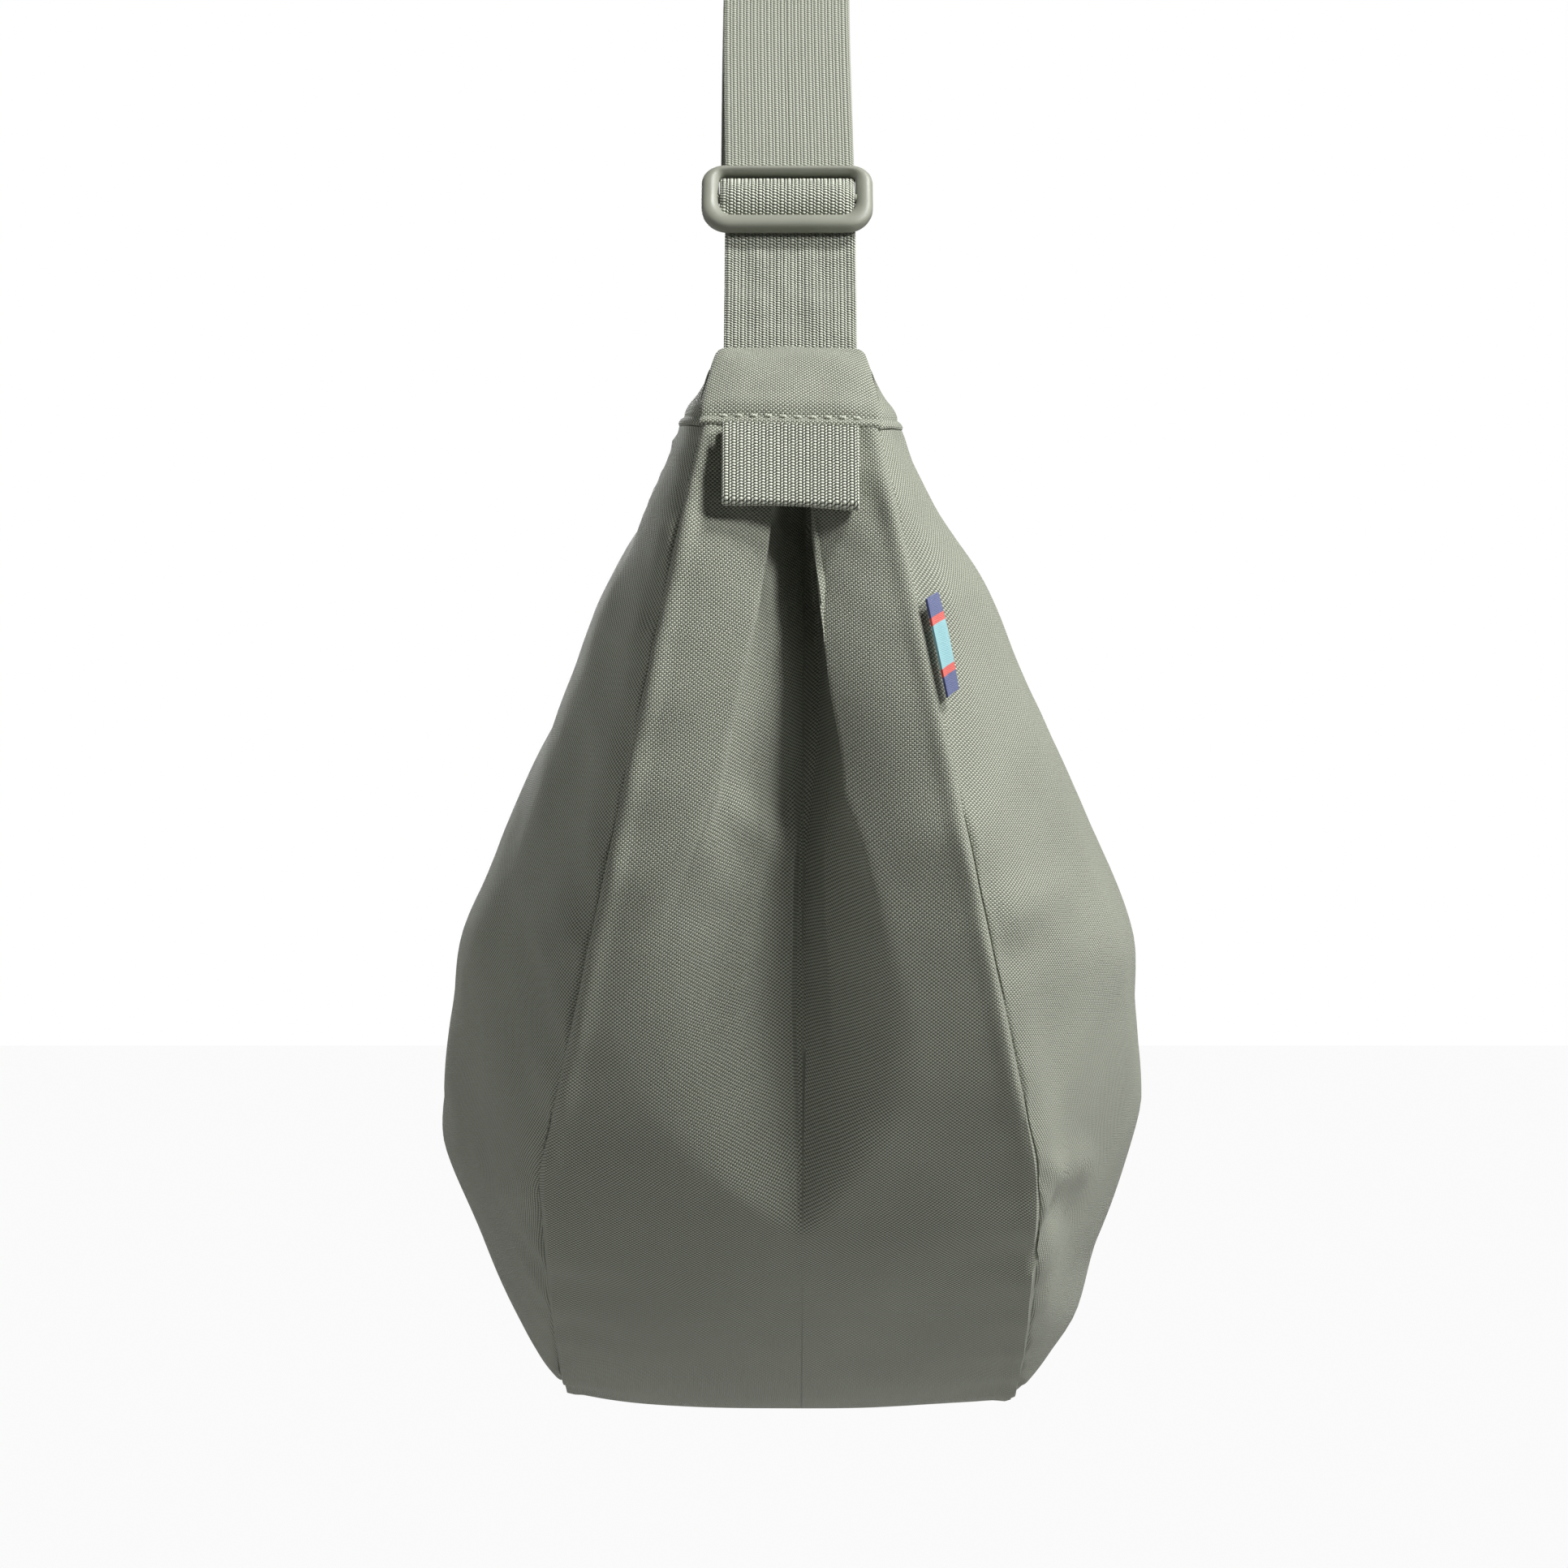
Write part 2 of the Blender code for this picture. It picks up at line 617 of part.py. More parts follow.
def tab(end):
    """A folded webbing tab that hangs from under the cap's hem, over the pleat."""
    hem = base_point(float(end), 0.0, 0.0)
    lower = base_point(end * (1 - 2 / ROW_CELLS), 0.0, 0.0)
    along = (lower - hem) / np.linalg.norm(lower - hem)
    out = np.array((0.0, -end * along[2], end * along[1]))
    layer = (WEBBING_THICKNESS + TAB_FOLD_GAP) / 2
    top = hem + out * TAB_STAND_OFF + along * TAB_BELOW_HEM
    path = []
    for s, n in ((0.0, layer), (TAB_LENGTH / 2, layer), (TAB_LENGTH - layer, layer)):
        path.append(top + along * s + out * n)
    for k in range(1, TURN_STEPS):
        angle = math.pi * k / TURN_STEPS
        spot = top + along * (TAB_LENGTH - layer + layer * math.sin(angle))
        path.append(spot + out * layer * math.cos(angle))
    for s, n in ((TAB_LENGTH - layer, -layer), (TAB_LENGTH / 2, -layer), (0.0, -layer)):
        path.append(top + along * s + out * n)
    label = "near" if end < 0 else "far"
    ribbon(label + "_tab", [(p[1], p[2]) for p in path], WEBBING_THICKNESS, WEBBING_WIDTH, "webbing")


# Strap, adjuster and ring


def hang_arc(radius, steps):
    """(y, z) points over the top, from the near leg to the far one."""
    points = []
    for k in range(steps + 1):
        angle = (math.pi / 2 - LEAN) * (2 * k / steps - 1)
        points.append((radius * math.sin(angle), -HANG_RADIUS + radius * math.cos(angle)))
    return points


def ring_turn(bar_s, bar_n, radius, over):
    """(s, n) points round a bar, from its +n side to its -n side, below or over it."""
    points = []
    for k in range(TURN_STEPS + 1):
        angle = math.pi * k / TURN_STEPS
        points.append((bar_s + over * radius * math.sin(angle), bar_n + radius * math.cos(angle)))
    return points


def strap():
    """The webbing: up the near leg, over the top, round the ring and back inside itself."""
    upper_bar = RING_START + RING_PITCH
    middle = -LAYER_PITCH / 2
    turn = RING_WIRE / 2 + CLEARANCE + WEBBING_THICKNESS / 2
    start = ROOT_LENGTH + CLEARANCE
    inner_end = ROOT_LENGTH + ADJUSTER_HEIGHT / 2
    outward = leg_path(-1, [(start, 0.0)]) + hang_arc(OUTER_LAYER_RADIUS, ARC_STEPS)
    far = [(upper_bar + WRAP_TAPER, 0.0), *ring_turn(upper_bar, middle, turn, -1)]
    far += [(upper_bar + WRAP_TAPER, -LAYER_PITCH)]
    back = list(reversed(hang_arc(INNER_LAYER_RADIUS, ARC_STEPS)))
    path = outward + leg_path(1, far) + back + leg_path(-1, [(inner_end, -LAYER_PITCH)])
    ribbon("strap_webbing", path, WEBBING_THICKNESS, WEBBING_WIDTH, "webbing")
    ribbon(
        "strap_root_webbing",
        leg_path(-1, [(-ROOT_IN_CAP, 0.0), (0.0, 0.0), (ROOT_LENGTH / 2, 0.0), (ROOT_LENGTH, 0.0)]),
        WEBBING_THICKNESS,
        WEBBING_WIDTH,
        "webbing",
    )


def ring():
    """The far ring and the webbing loop that holds it in the far cap."""
    middle = -LAYER_PITCH / 2
    turn = RING_WIRE / 2 + CLEARANCE + WEBBING_THICKNESS / 2
    half_pitch = LAYER_PITCH / 2
    loop = [(-ROOT_IN_CAP, middle + half_pitch), (0.0, middle + half_pitch)]
    loop += ring_turn(RING_START, middle, turn, 1)
    loop += [(0.0, middle - half_pitch), (-ROOT_IN_CAP, middle - half_pitch)]
    ribbon("far_ring_loop", leg_path(1, loop), WEBBING_THICKNESS, WEBBING_WIDTH, "webbing")
    half_x = (RING_INSIDE_WIDTH + RING_WIRE) / 2
    half_s = RING_PITCH / 2
    outline = rounded_outline(half_x, half_s, RING_CORNER, RING_START + half_s)
    place = leg_place(1)
    swept_loop(
        "far_ring",
        outline,
        [RING_WIRE / 2] * len(outline),
        RING_WIRE / 2,
        lambda x, s, n: place(x, s, n + middle),
        "moulding",
    )


def rounded_outline(half_x, half_s, corner, centre_s):
    """Points of a rectangle with round corners, anticlockwise."""
    corner_steps = 4
    points = []
    for quarter, (side_x, side_s) in enumerate(((1, 1), (-1, 1), (-1, -1), (1, -1))):
        for k in range(corner_steps + 1):
            angle = math.pi / 2 * (quarter + k / corner_steps)
            x = side_x * (half_x - corner) + corner * math.cos(angle)
            s = side_s * (half_s - corner) + corner * math.sin(angle)
            points.append((x, centre_s + s))
    return points


def adjuster():
    """The moulded frame in front of the webbing, and the webbing turned over its centre bar."""
    place = leg_place(-1)
    centre_s = ROOT_LENGTH + CLEARANCE + ADJUSTER_HEIGHT / 2
    back_n = WEBBING_THICKNESS / 2 + RUNNING_GAP
    middle_n = back_n + ADJUSTER_THICKNESS / 2
    half_x = (ADJUSTER_WIDTH - ADJUSTER_SIDE_BAR) / 2
    half_s = (ADJUSTER_HEIGHT - (ADJUSTER_TOP_BAR + ADJUSTER_LOW_BAR) / 2) / 2
    shift = (ADJUSTER_LOW_BAR - ADJUSTER_TOP_BAR) / 4
    corner = ADJUSTER_CORNER - ADJUSTER_SIDE_BAR / 2
    outline = rounded_outline(half_x, half_s, corner, centre_s + shift)
    halves = []
    for x, s in outline:
        side = smooth_step((abs(x) - half_x + corner) / corner)
        bar = ADJUSTER_TOP_BAR if s > centre_s else ADJUSTER_LOW_BAR
        halves.append((bar + (ADJUSTER_SIDE_BAR - bar) * side) / 2)
    frame = swept_loop(
        "adjuster_frame",
        outline,
        halves,
        ADJUSTER_THICKNESS / 2,
        lambda x, s, n: place(x, s, n + middle_n),
        "moulding",
    )
    bar_n = back_n + CENTRE_BAR_DIAMETER / 2 + CENTRE_BAR_SINK
    bar_half = ADJUSTER_WIDTH / 2 - ADJUSTER_SIDE_BAR + BAR_OVERRUN
    bar = rod_data(bar_half, CENTRE_BAR_DIAMETER / 2, (centre_s, bar_n), place)
    join(frame, "centre_bar", bar)
    low_edge = centre_s - ADJUSTER_HEIGHT / 2 + ADJUSTER_LOW_BAR + TURN_END_GAP
    top_edge = centre_s + ADJUSTER_HEIGHT / 2 - ADJUSTER_TOP_BAR - TURN_END_GAP
    rest_n = back_n + WEBBING_THICKNESS / 2
    over_n = bar_n + CENTRE_BAR_DIAMETER / 2 + CLEARANCE + WEBBING_THICKNESS / 2
    path = []
    inset = WEBBING_THICKNESS / 2
    for k in range(TURN_STEPS + 1):
        share = k / TURN_STEPS
        s = low_edge + inset + (top_edge - low_edge - 2 * inset) * share
        hump = max(0.0, 1 - abs(2 * share - 1) ** 2.6)
        path.append((s, rest_n + (over_n - rest_n) * hump))
    ribbon("adjuster_webbing_turn", leg_path(-1, path), WEBBING_THICKNESS, WEBBING_WIDTH, "webbing")


# Zip


def arc_strip(name, low_x, high_x, low_h, high_h, half_angle, steps, material):
    """A strip along the zip's arc with a rectangular section."""
    mesh_data = bmesh.new()
    rings = []
    for k in range(steps + 1):
        place = zip_place(half_angle * (2 * k / steps - 1))
        spots = ((low_x, low_h), (high_x, low_h), (high_x, high_h), (low_x, high_h))
        rings.append([mesh_data.verts.new(place(x, 0.0, h)) for x, h in spots])
    for ring_before, ring_after in zip(rings, rings[1:]):
        for k in range(4):
            j = (k + 1) % 4
            mesh_data.faces.new((ring_before[k], ring_before[j], ring_after[j], ring_after[k]))
    mesh_data.faces.new(rings[0])
    mesh_data.faces.new(rings[-1])
    return finish(name, mesh_data, material)


def zip_parts():
    """Tapes, coils, end stops, slider and puller."""
    tape_top = -(FABRIC_THICKNESS + CLEARANCE)
    tape_low = tape_top - TAPE_THICKNESS
    coil_low = tape_top + CLEARANCE
    coil_top = COIL_ABOVE_LIP
    coil_out = COIL_GAP_HALF + COIL_WIDTH
    tape_out = ZIP_LIP_HALF - TAPE_INSET
    tape_angle = ZIP_ANGLE * ZIP_TAPE_SHARE
    coil_angle = ZIP_ANGLE * ZIP_COIL_SHARE
    for label, side in (("front", 1), ("rear", -1)):
        tape_x = sorted((side * COIL_GAP_HALF, side * tape_out))
        coil_x = sorted((side * COIL_GAP_HALF, side * coil_out))
        arc_strip(label + "_zip_tape", *tape_x, tape_low, tape_top, tape_angle, ROW_CELLS, "zip_tape")
        arc_strip(label + "_zip_coil", *coil_x, coil_low, coil_top, coil_angle, ROW_CELLS, "zip_coil")
    stop_gap = (CLEARANCE + STOP_LENGTH / 2) / ZIP_RADIUS
    for label, end in (("near", -1), ("far", 1)):
        place = zip_flat_place(end * (coil_angle + stop_gap))
        low = (-coil_out, -STOP_LENGTH / 2, coil_low)
        high = (coil_out, STOP_LENGTH / 2, coil_low + STOP_HEIGHT)
        finish(label + "_zip_stop", block_data(low, high, place), "zip_metal", smooth=False)
    zip_slider(coil_angle, coil_top, tape_low)


def zip_slider(coil_angle, coil_top, tape_low):
    """The slider, parked at the far end with the zip shut, and the puller lying along it."""
    angle = coil_angle - (SLIDER_LENGTH / 2 + CLEARANCE) / ZIP_RADIUS
    place = zip_flat_place(angle)
    sagitta = (SLIDER_LENGTH / 2) ** 2 / (2 * ZIP_RADIUS)
    top_low = coil_top + RUNNING_GAP
    top_high = top_low + SLIDER_PLATE
    under_high = tape_low - RUNNING_GAP - sagitta
    under_low = under_high - SLIDER_PLATE
    half_w, half_l = SLIDER_WIDTH / 2, SLIDER_LENGTH / 2
    upper_plate = block_data((-half_w, -half_l, top_low), (half_w, half_l, top_high), place)
    upper = finish("zip_slider", upper_plate, "zip_metal", False)
    overlap = SLIDER_PLATE / 2
    under = block_data((-half_w, -half_l, under_low), (half_w, half_l, under_high), place)
    post_low = (-POST_WIDTH / 2, -POST_LENGTH / 2, under_high - overlap)
    post_high = (POST_WIDTH / 2, POST_LENGTH / 2, top_low + overlap)
    post = block_data(post_low, post_high, place)
    join(upper, "post", post)
    join(upper, "under_plate", under)
    flange_low_h = -FABRIC_THICKNESS + RUNNING_GAP + sagitta
    for side, label in ((-1, "rear_flange"), (1, "front_flange")):
        edge_w, edge_l = half_w - FLANGE_INSET, half_l - FLANGE_INSET
        xs = sorted((side * edge_w, side * (edge_w - SLIDER_FLANGE)))
        flange = block_data((xs[0], -edge_l, flange_low_h), (xs[1], edge_l, top_low + overlap), place)
        join(upper, label, flange)
    bail_low = top_high - overlap
    arch_high = top_high + BAIL_SPACE + BAIL_WIRE
    bail_half = BAIL_LENGTH / 2
    arch = block_data((-BAIL_WIDTH / 2, -bail_half, bail_low), (BAIL_WIDTH / 2, bail_half, arch_high), place)
    join(upper, "bail", arch)
    window_half = bail_half - BAIL_WIRE
    window_high = top_high + BAIL_SPACE
    window = block_data((-BAIL_WIDTH, -window_half, top_high), (BAIL_WIDTH, window_half, window_high), place)
    join(upper, "bail_window", window, "DIFFERENCE")
    puller(place, top_high)


def puller(flat_place, plate_top):
    """A flat pull with a cross bar that turns under the slider's bail."""
    pivot_h = plate_top + BAIL_SPACE / 2
    cos_lift, sin_lift = math.cos(PULLER_LIFT), math.sin(PULLER_LIFT)

    def place(x, t, h):
        up = h - pivot_h
        return flat_place(x, t * cos_lift + up * sin_lift, pivot_h + up * cos_lift - t * sin_lift)

    arm_x = PULLER_ARM_GAP / 2 + PULLER_ARM_WIDTH
    overlap = PIVOT_DIAMETER / 4
    bar = rod_data(arm_x, PIVOT_DIAMETER / 2, (0.0, pivot_h), place)
    pull = finish("zip_puller", bar, "zip_metal")
    half_h = PIVOT_DIAMETER / 2
    for side, label in ((-1, "rear_arm"), (1, "front_arm")):
        xs = sorted((side * PULLER_ARM_GAP / 2, side * arm_x))
        low = (xs[0], -PULLER_ARM_LENGTH - overlap, pivot_h - half_h * 0.9)
        high = (xs[1], overlap, pivot_h + half_h * 0.9)
        join(pull, label, block_data(low, high, place))
    plate_low = (-PULLER_WIDTH / 2, -PULLER_ARM_LENGTH - PULLER_LENGTH, pivot_h - PULLER_THICKNESS / 2)
    plate_high = (PULLER_WIDTH / 2, -PULLER_ARM_LENGTH, pivot_h + PULLER_THICKNESS / 2)
    join(pull, "plate", block_data(plate_low, plate_high, place))
    eye_end = -PULLER_ARM_LENGTH - PULLER_LENGTH + PULLER_EYE
    eye_low = (-PULLER_EYE / 2, eye_end - PULLER_EYE / 2, pivot_h - PULLER_THICKNESS)
    eye_high = (PULLER_EYE / 2, eye_end + PULLER_EYE / 2, pivot_h + PULLER_THICKNESS)
    join(pull, "eye", block_data(eye_low, eye_high, place), "DIFFERENCE")


def side_label():
    """A woven label caught in the front seam, lying on the front panel."""
    row_steps, column_steps = 4, 2
    u_start = -1 + LABEL_BELOW_HEM / (BAG_RADIUS * HEM_ANGLE)
    u_step = LABEL_LENGTH / (BAG_RADIUS * HEM_ANGLE) / row_steps
    small = 1e-3
    faces = []
    for lift in (CLEARANCE + LABEL_THICKNESS, CLEARANCE):
        face = []
        for i in range(row_steps + 1):
            u = u_start + i * u_step
            seam, above = side_point(u, 1.0, 1), side_point(u, 1 - 10 * small, 1)
            per_share = np.linalg.norm(seam - above) / (10 * small)
            row = []
            for j in range(column_steps + 1):
                t = 1 - (CLEARANCE + LABEL_WIDTH * j / column_steps) / per_share
                spot = side_point(u, t, 1)
                along_u = side_point(u + small, t, 1) - side_point(u - small, t, 1)
                along_t = side_point(u, t + small, 1) - side_point(u, t - small, 1)
                normal = np.cross(along_t, along_u)
                normal *= math.copysign(1, normal[0]) / np.linalg.norm(normal)
                row.append(spot + normal * (lift + CLEARANCE))
            face.append(row)
        faces.append(face)
    shell("side_label", faces[0], faces[1], "label")


def main():
    clear_scene()
    grid, floor = body_grid()
    normals = grid_normals(grid)
    body_shells(grid, normals)
    cap_pieces(grid, normals, -1, 1)
    cap_pieces(grid, normals, 1, 2)
    for end in (-1, 1):
        stitches(grid, normals, end)
        tab(end)
    strap()
    ring()
    adjuster()
    zip_parts()
    side_label()
    print("hem z", round(HEM_Z, 5), "floor z", round(float(floor), 5), "lean", round(math.degrees(LEAN), 2))
    print("zip radius", round(ZIP_RADIUS, 5), "zip centre z", round(ZIP_CENTRE_Z, 5))


main()
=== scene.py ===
"""The looks of a half moon shoulder bag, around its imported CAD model."""

import math
from functools import partial

import bmesh
import bpy
import numpy as np
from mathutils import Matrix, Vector


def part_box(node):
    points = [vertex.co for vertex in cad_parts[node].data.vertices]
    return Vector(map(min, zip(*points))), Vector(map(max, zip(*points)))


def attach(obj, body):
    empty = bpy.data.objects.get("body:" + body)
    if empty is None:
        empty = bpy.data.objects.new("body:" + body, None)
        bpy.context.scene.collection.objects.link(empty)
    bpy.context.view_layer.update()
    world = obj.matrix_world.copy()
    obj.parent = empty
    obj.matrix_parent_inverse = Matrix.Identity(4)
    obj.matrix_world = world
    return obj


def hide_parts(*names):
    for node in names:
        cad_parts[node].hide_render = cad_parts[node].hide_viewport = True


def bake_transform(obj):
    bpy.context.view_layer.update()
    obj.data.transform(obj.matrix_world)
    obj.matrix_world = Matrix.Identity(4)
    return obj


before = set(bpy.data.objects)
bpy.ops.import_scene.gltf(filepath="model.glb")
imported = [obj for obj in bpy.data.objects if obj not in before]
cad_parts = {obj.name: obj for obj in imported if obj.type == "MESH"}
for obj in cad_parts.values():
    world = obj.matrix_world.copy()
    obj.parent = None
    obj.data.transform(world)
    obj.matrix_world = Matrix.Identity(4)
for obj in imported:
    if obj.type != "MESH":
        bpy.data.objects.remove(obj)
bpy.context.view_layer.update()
CAD_BOX_FLOOR = float(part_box("base_gusset")[0][2])

# Sizes in metres, angles and shares, repeated from the part's source
WEBBING_WIDTH = 0.038
WEBBING_THICKNESS = 0.0016
STRAP_DROP = 0.282
HANG_RADIUS = 0.045
CAP_HALF_SPAN = 0.196
ROOT_LENGTH = 0.0418
ROOT_IN_CAP = 0.016
CLEARANCE = 0.0003
RUNNING_GAP = 0.0005
BAG_RADIUS = 0.232
HEM_ABOVE_CENTRE = 0.075
CAP_HEIGHT = 0.023
BULGE_STATIONS = (0.0, 0.2, 0.3, 0.4, 0.5, 0.6, 0.7, 0.8, 0.9, 1.0)
BASE_HALF_WIDTH = 0.074
HORN_BASE_HALF_WIDTH = 0.0256
BASE_CROWN = 0.0012
FABRIC_THICKNESS = 0.0012
LINING_THICKNESS = 0.0006
PLEAT_LINE_X = 0.0035
ZIP_HALF_CHORD = 0.163
ZIP_SAG = 0.075
ZIP_END_RISE = 0.004
ZIP_WINDOW_HALF = 0.007
ZIP_LIP_HALF = 0.0130
COIL_GAP_HALF = 0.0009
COIL_WIDTH = 0.0023
COIL_ABOVE_LIP = 0.0009
TAPE_THICKNESS = 0.0007
TAPE_INSET = 0.0022
ADJUSTER_WIDTH = 0.0500
ADJUSTER_HEIGHT = 0.0232
ADJUSTER_THICKNESS = 0.0040
ADJUSTER_SIDE_BAR = 0.0050
CENTRE_BAR_DIAMETER = 0.0028
CENTRE_BAR_SINK = 0.0004
RING_WIRE = 0.0034
RING_INSIDE_WIDTH = 0.0410
RING_PITCH = 0.0120
RING_START = 0.0260
RING_CORNER = 0.0030
WRAP_TAPER = 0.0130
TAB_LENGTH = 0.0232
TAB_FOLD_GAP = 0.0010
TAB_STAND_OFF = 0.0027
TAB_BELOW_HEM = 0.0009
LABEL_LENGTH = 0.0275
LABEL_WIDTH = 0.0050
LABEL_THICKNESS = 0.0007
LABEL_BELOW_HEM = 0.0510
BULGE_AT_SHARE = 0.60
BULGE_RISE_POWER = 0.50
BULGE_FALL_POWER = 1.4
SEAM_DEPTH_SHARE = 0.985
BASE_FULL_SHARE = 0.48
ZIP_COIL_SHARE = 0.93
STITCH_LENGTH = 0.0029
STITCH_PITCH = 0.00415
STOP_LENGTH = 0.0040
STOP_HEIGHT = 0.0026
SLIDER_LENGTH = 0.0130
SLIDER_WIDTH = 0.0100
SLIDER_PLATE = 0.0012
SLIDER_FLANGE = 0.0008
FLANGE_INSET = 0.0003
POST_WIDTH = 0.0011
POST_LENGTH = 0.0050
BAIL_LENGTH = 0.0092
BAIL_WIDTH = 0.0015
BAIL_WIRE = 0.0014
BAIL_SPACE = 0.0026
PIVOT_DIAMETER = 0.0015
PULLER_ARM_GAP = 0.0034
PULLER_ARM_WIDTH = 0.0016
PULLER_ARM_LENGTH = 0.0068
PULLER_LENGTH = 0.0260
PULLER_WIDTH = 0.0085
PULLER_THICKNESS = 0.0018
PULLER_EYE = 0.0036
PULLER_LIFT = math.radians(4.5)

# Sizes that differ a little from the part's source, to match the photograph
BULGE_HALF_WIDTHS = (0.117, 0.1148, 0.1110, 0.1050, 0.0960, 0.0840, 0.0712, 0.0583, 0.0448, 0.0303)
HEM_PROUD = 0.0005
ADJUSTER_TOP_BAR = 0.0034
ADJUSTER_LOW_BAR = 0.0056
STITCH_THREAD = 0.00095
STITCH_ABOVE_HEM = 0.0031

# Sizes and shares that only the looks use
BASE_TURN = 0.06
LIP_WIDTHS = (ZIP_WINDOW_HALF, 0.009, 0.011)
PLEAT_SMOOTHING = 9
SEAM_STEP = 0.0014
LINING_BELOW = 0.0030
BASE_LEFT_CORNER_LIFT = 0.0036
BASE_RIGHT_CORNER_LIFT = 0.0002
ROW_ANGLE_SHARE = 2 / 30
CAP_TOP_CORNER = 0.0052
CAP_TOP_WIDER = 0.0016
CAP_TOP_RISE = 0.0010
FACE_FLARE = 1.95
SIDE_FLARE = 1.05
HEM_SLOPE = 0.022
TAB_SLOPE = 0.034
ADJUSTER_SHIFT = -0.0009
ROLL_WIDTH_SHARE = 1.035
TOOTH_PITCH = 0.0014
LABEL_OVER = 0.0008
LABEL_LIFT = 0.0008

# The webbing's weave: a wide and a narrow column of knots in each rib
RIBS = 18
RIB_PITCH = 0.00204
RIB_SPLIT = 0.58
RIB_DEPTH = 0.00016
KNOT_PITCH = 0.00086
STRAP_DRIFT = 0.0010
BACK_LAYER_SHIFT = -0.0014

# The pleat as it lies in the cloth, a row for each station from the bottom up to the hem: its widths
# left and right of the valley line with where the left wall turns steep between them, how deep the
# wall and the valley go, how far each flap hangs over, how round the folds are, and how far the flaps
# roll in towards the fold's mouth and how wide that roll is
PLEAT = (
    (0.0, 0.02, 0.01, 0.02, 0.0, 0.0, 0.0, 0.006, 0.0, 0.02),
    (0.436, 0.004, 0.0015, 0.004, 0.0, 0.0, 0.0, 0.003, 0.0, 0.02),
    (0.455, 0.01, 0.0015, 0.006, 0.0034, 0.0035, 0.0, 0.0035, 0.0, 0.02),
    (0.482, 0.02, 0.0015, 0.011, 0.0083, 0.0085, 0.0, 0.0045, 0.0, 0.02),
    (0.51, 0.0293, 0.0015, 0.0158, 0.0132, 0.0135, 0.0, 0.006, 0.0, 0.02),
    (0.556, 0.0366, 0.0015, 0.0215, 0.0186, 0.019, 0.0, 0.01, 0.0, 0.02),
    (0.6, 0.041, 0.0015, 0.0207, 0.0221, 0.0225, 0.0, 0.012, 0.0, 0.02),
    (0.66, 0.0385, 0.0015, 0.016, 0.0238, 0.0245, 0.0005, 0.011, 0.001, 0.022),
    (0.72, 0.03, 0.0015, 0.0115, 0.0222, 0.026, 0.002, 0.007, 0.004, 0.024),
    (0.745, 0.026, 0.0015, 0.0106, 0.02, 0.0265, 0.003, 0.0032, 0.0056, 0.027),
    (0.77, 0.0228, 0.0015, 0.0105, 0.0178, 0.027, 0.0036, 0.0014, 0.0066, 0.028),
    (0.82, 0.0178, 0.0022, 0.0072, 0.0153, 0.0275, 0.0044, 0.0013, 0.0068, 0.027),
    (0.88, 0.012, 0.0049, 0.0034, 0.015, 0.028, 0.004, 0.0013, 0.006, 0.026),
    (0.93, 0.0082, 0.007, 0.0014, 0.016, 0.024, 0.003, 0.0013, 0.0048, 0.024),
    (1.0, 0.005, 0.003, 0.001, 0.002, 0.006, 0.0, 0.0015, 0.003, 0.018),
)
PLEAT_STATIONS, *PLEAT_SIZES = zip(*PLEAT)

# How far each side is drawn in towards the middle: rows of height, left and right
TRIM = (
    (-0.62, 0.0024, -0.0045),
    (-0.596, 0.0024, -0.0045),
    (-0.5845, 0.0022, -0.004),
    (-0.5535, 0.0026, 0.0025),
    (-0.5225, 0.0006, 0.0036),
    (-0.502, 0.0036, 0.003),
    (-0.476, 0.0037, 0.0018),
    (-0.45, 0.0012, -0.002),
    (-0.4245, 0.0034, -0.0012),
    (-0.373, 0.0018, -0.0033),
    (-0.352, -0.0004, -0.005),
    (-0.32, -0.0006, -0.0004),
    (-0.3, 0.0, 0.0),
)
TRIM_HEIGHTS, TRIM_LEFT, TRIM_RIGHT = zip(*TRIM)

# Counts and shares of the cloth's mesh
ROWS = 260
SIDE_STEPS = 84
SEAM_BAND_SHARE = 0.925
LINING_SPREAD = 0.004
LINING_ROWS = 60
LINING_STEPS = 20
LIP_COLUMNS = 3
SEED = 11

# Columns of the base strip's mesh: front flap, right wall in two parts, valley, left wall, its edge
# and rear flap
PLEAT_COLUMNS = (26, 10, 14, 12, 30, 8, 24)
PLEAT_THINNING = 0.75

# Seams: a groove, a step down to the strip, a puff beside it, and puckers along it
SEAM_GROOVE = 0.0014
SEAM_GROOVE_WIDTH = 0.0013
SEAM_STEP_PANEL_WIDTH = 0.0065
SEAM_STEP_STRIP_WIDTH = 0.0007
SEAM_PUFF = 0.0008
SEAM_PUFF_AT = 0.0034
SEAM_PUFF_WIDTH = 0.0026
PUCKER_HEIGHT = 0.00085
PUCKER_REACH = 0.013
PUCKER_START = 0.002
PUCKER_LENGTHS = (0.016, 0.046)

# The filled cloth's unevenness: wide, fine, and gathered at the hems
SAG_HEIGHT = 0.0007
SAG_LENGTHS = (0.08, 0.26)
RUMPLE_HEIGHT = 0.00012
RUMPLE_LENGTHS = (0.026, 0.070)
GATHER_HEIGHT = 0.0004
GATHER_LENGTHS = (0.012, 0.030)
GATHER_REACH = 0.030

# Where the unevenness stops before the zip's lips, how the base flattens, and where the trims fade
LIP_CLEAR = 0.03
FLOOR_ABOVE_CAD = 0.0004
FLOOR_ROUNDING = 0.0035
TRIM_WINDOW_LEFT = 0.3
TRIM_WINDOW_RIGHT = 0.14

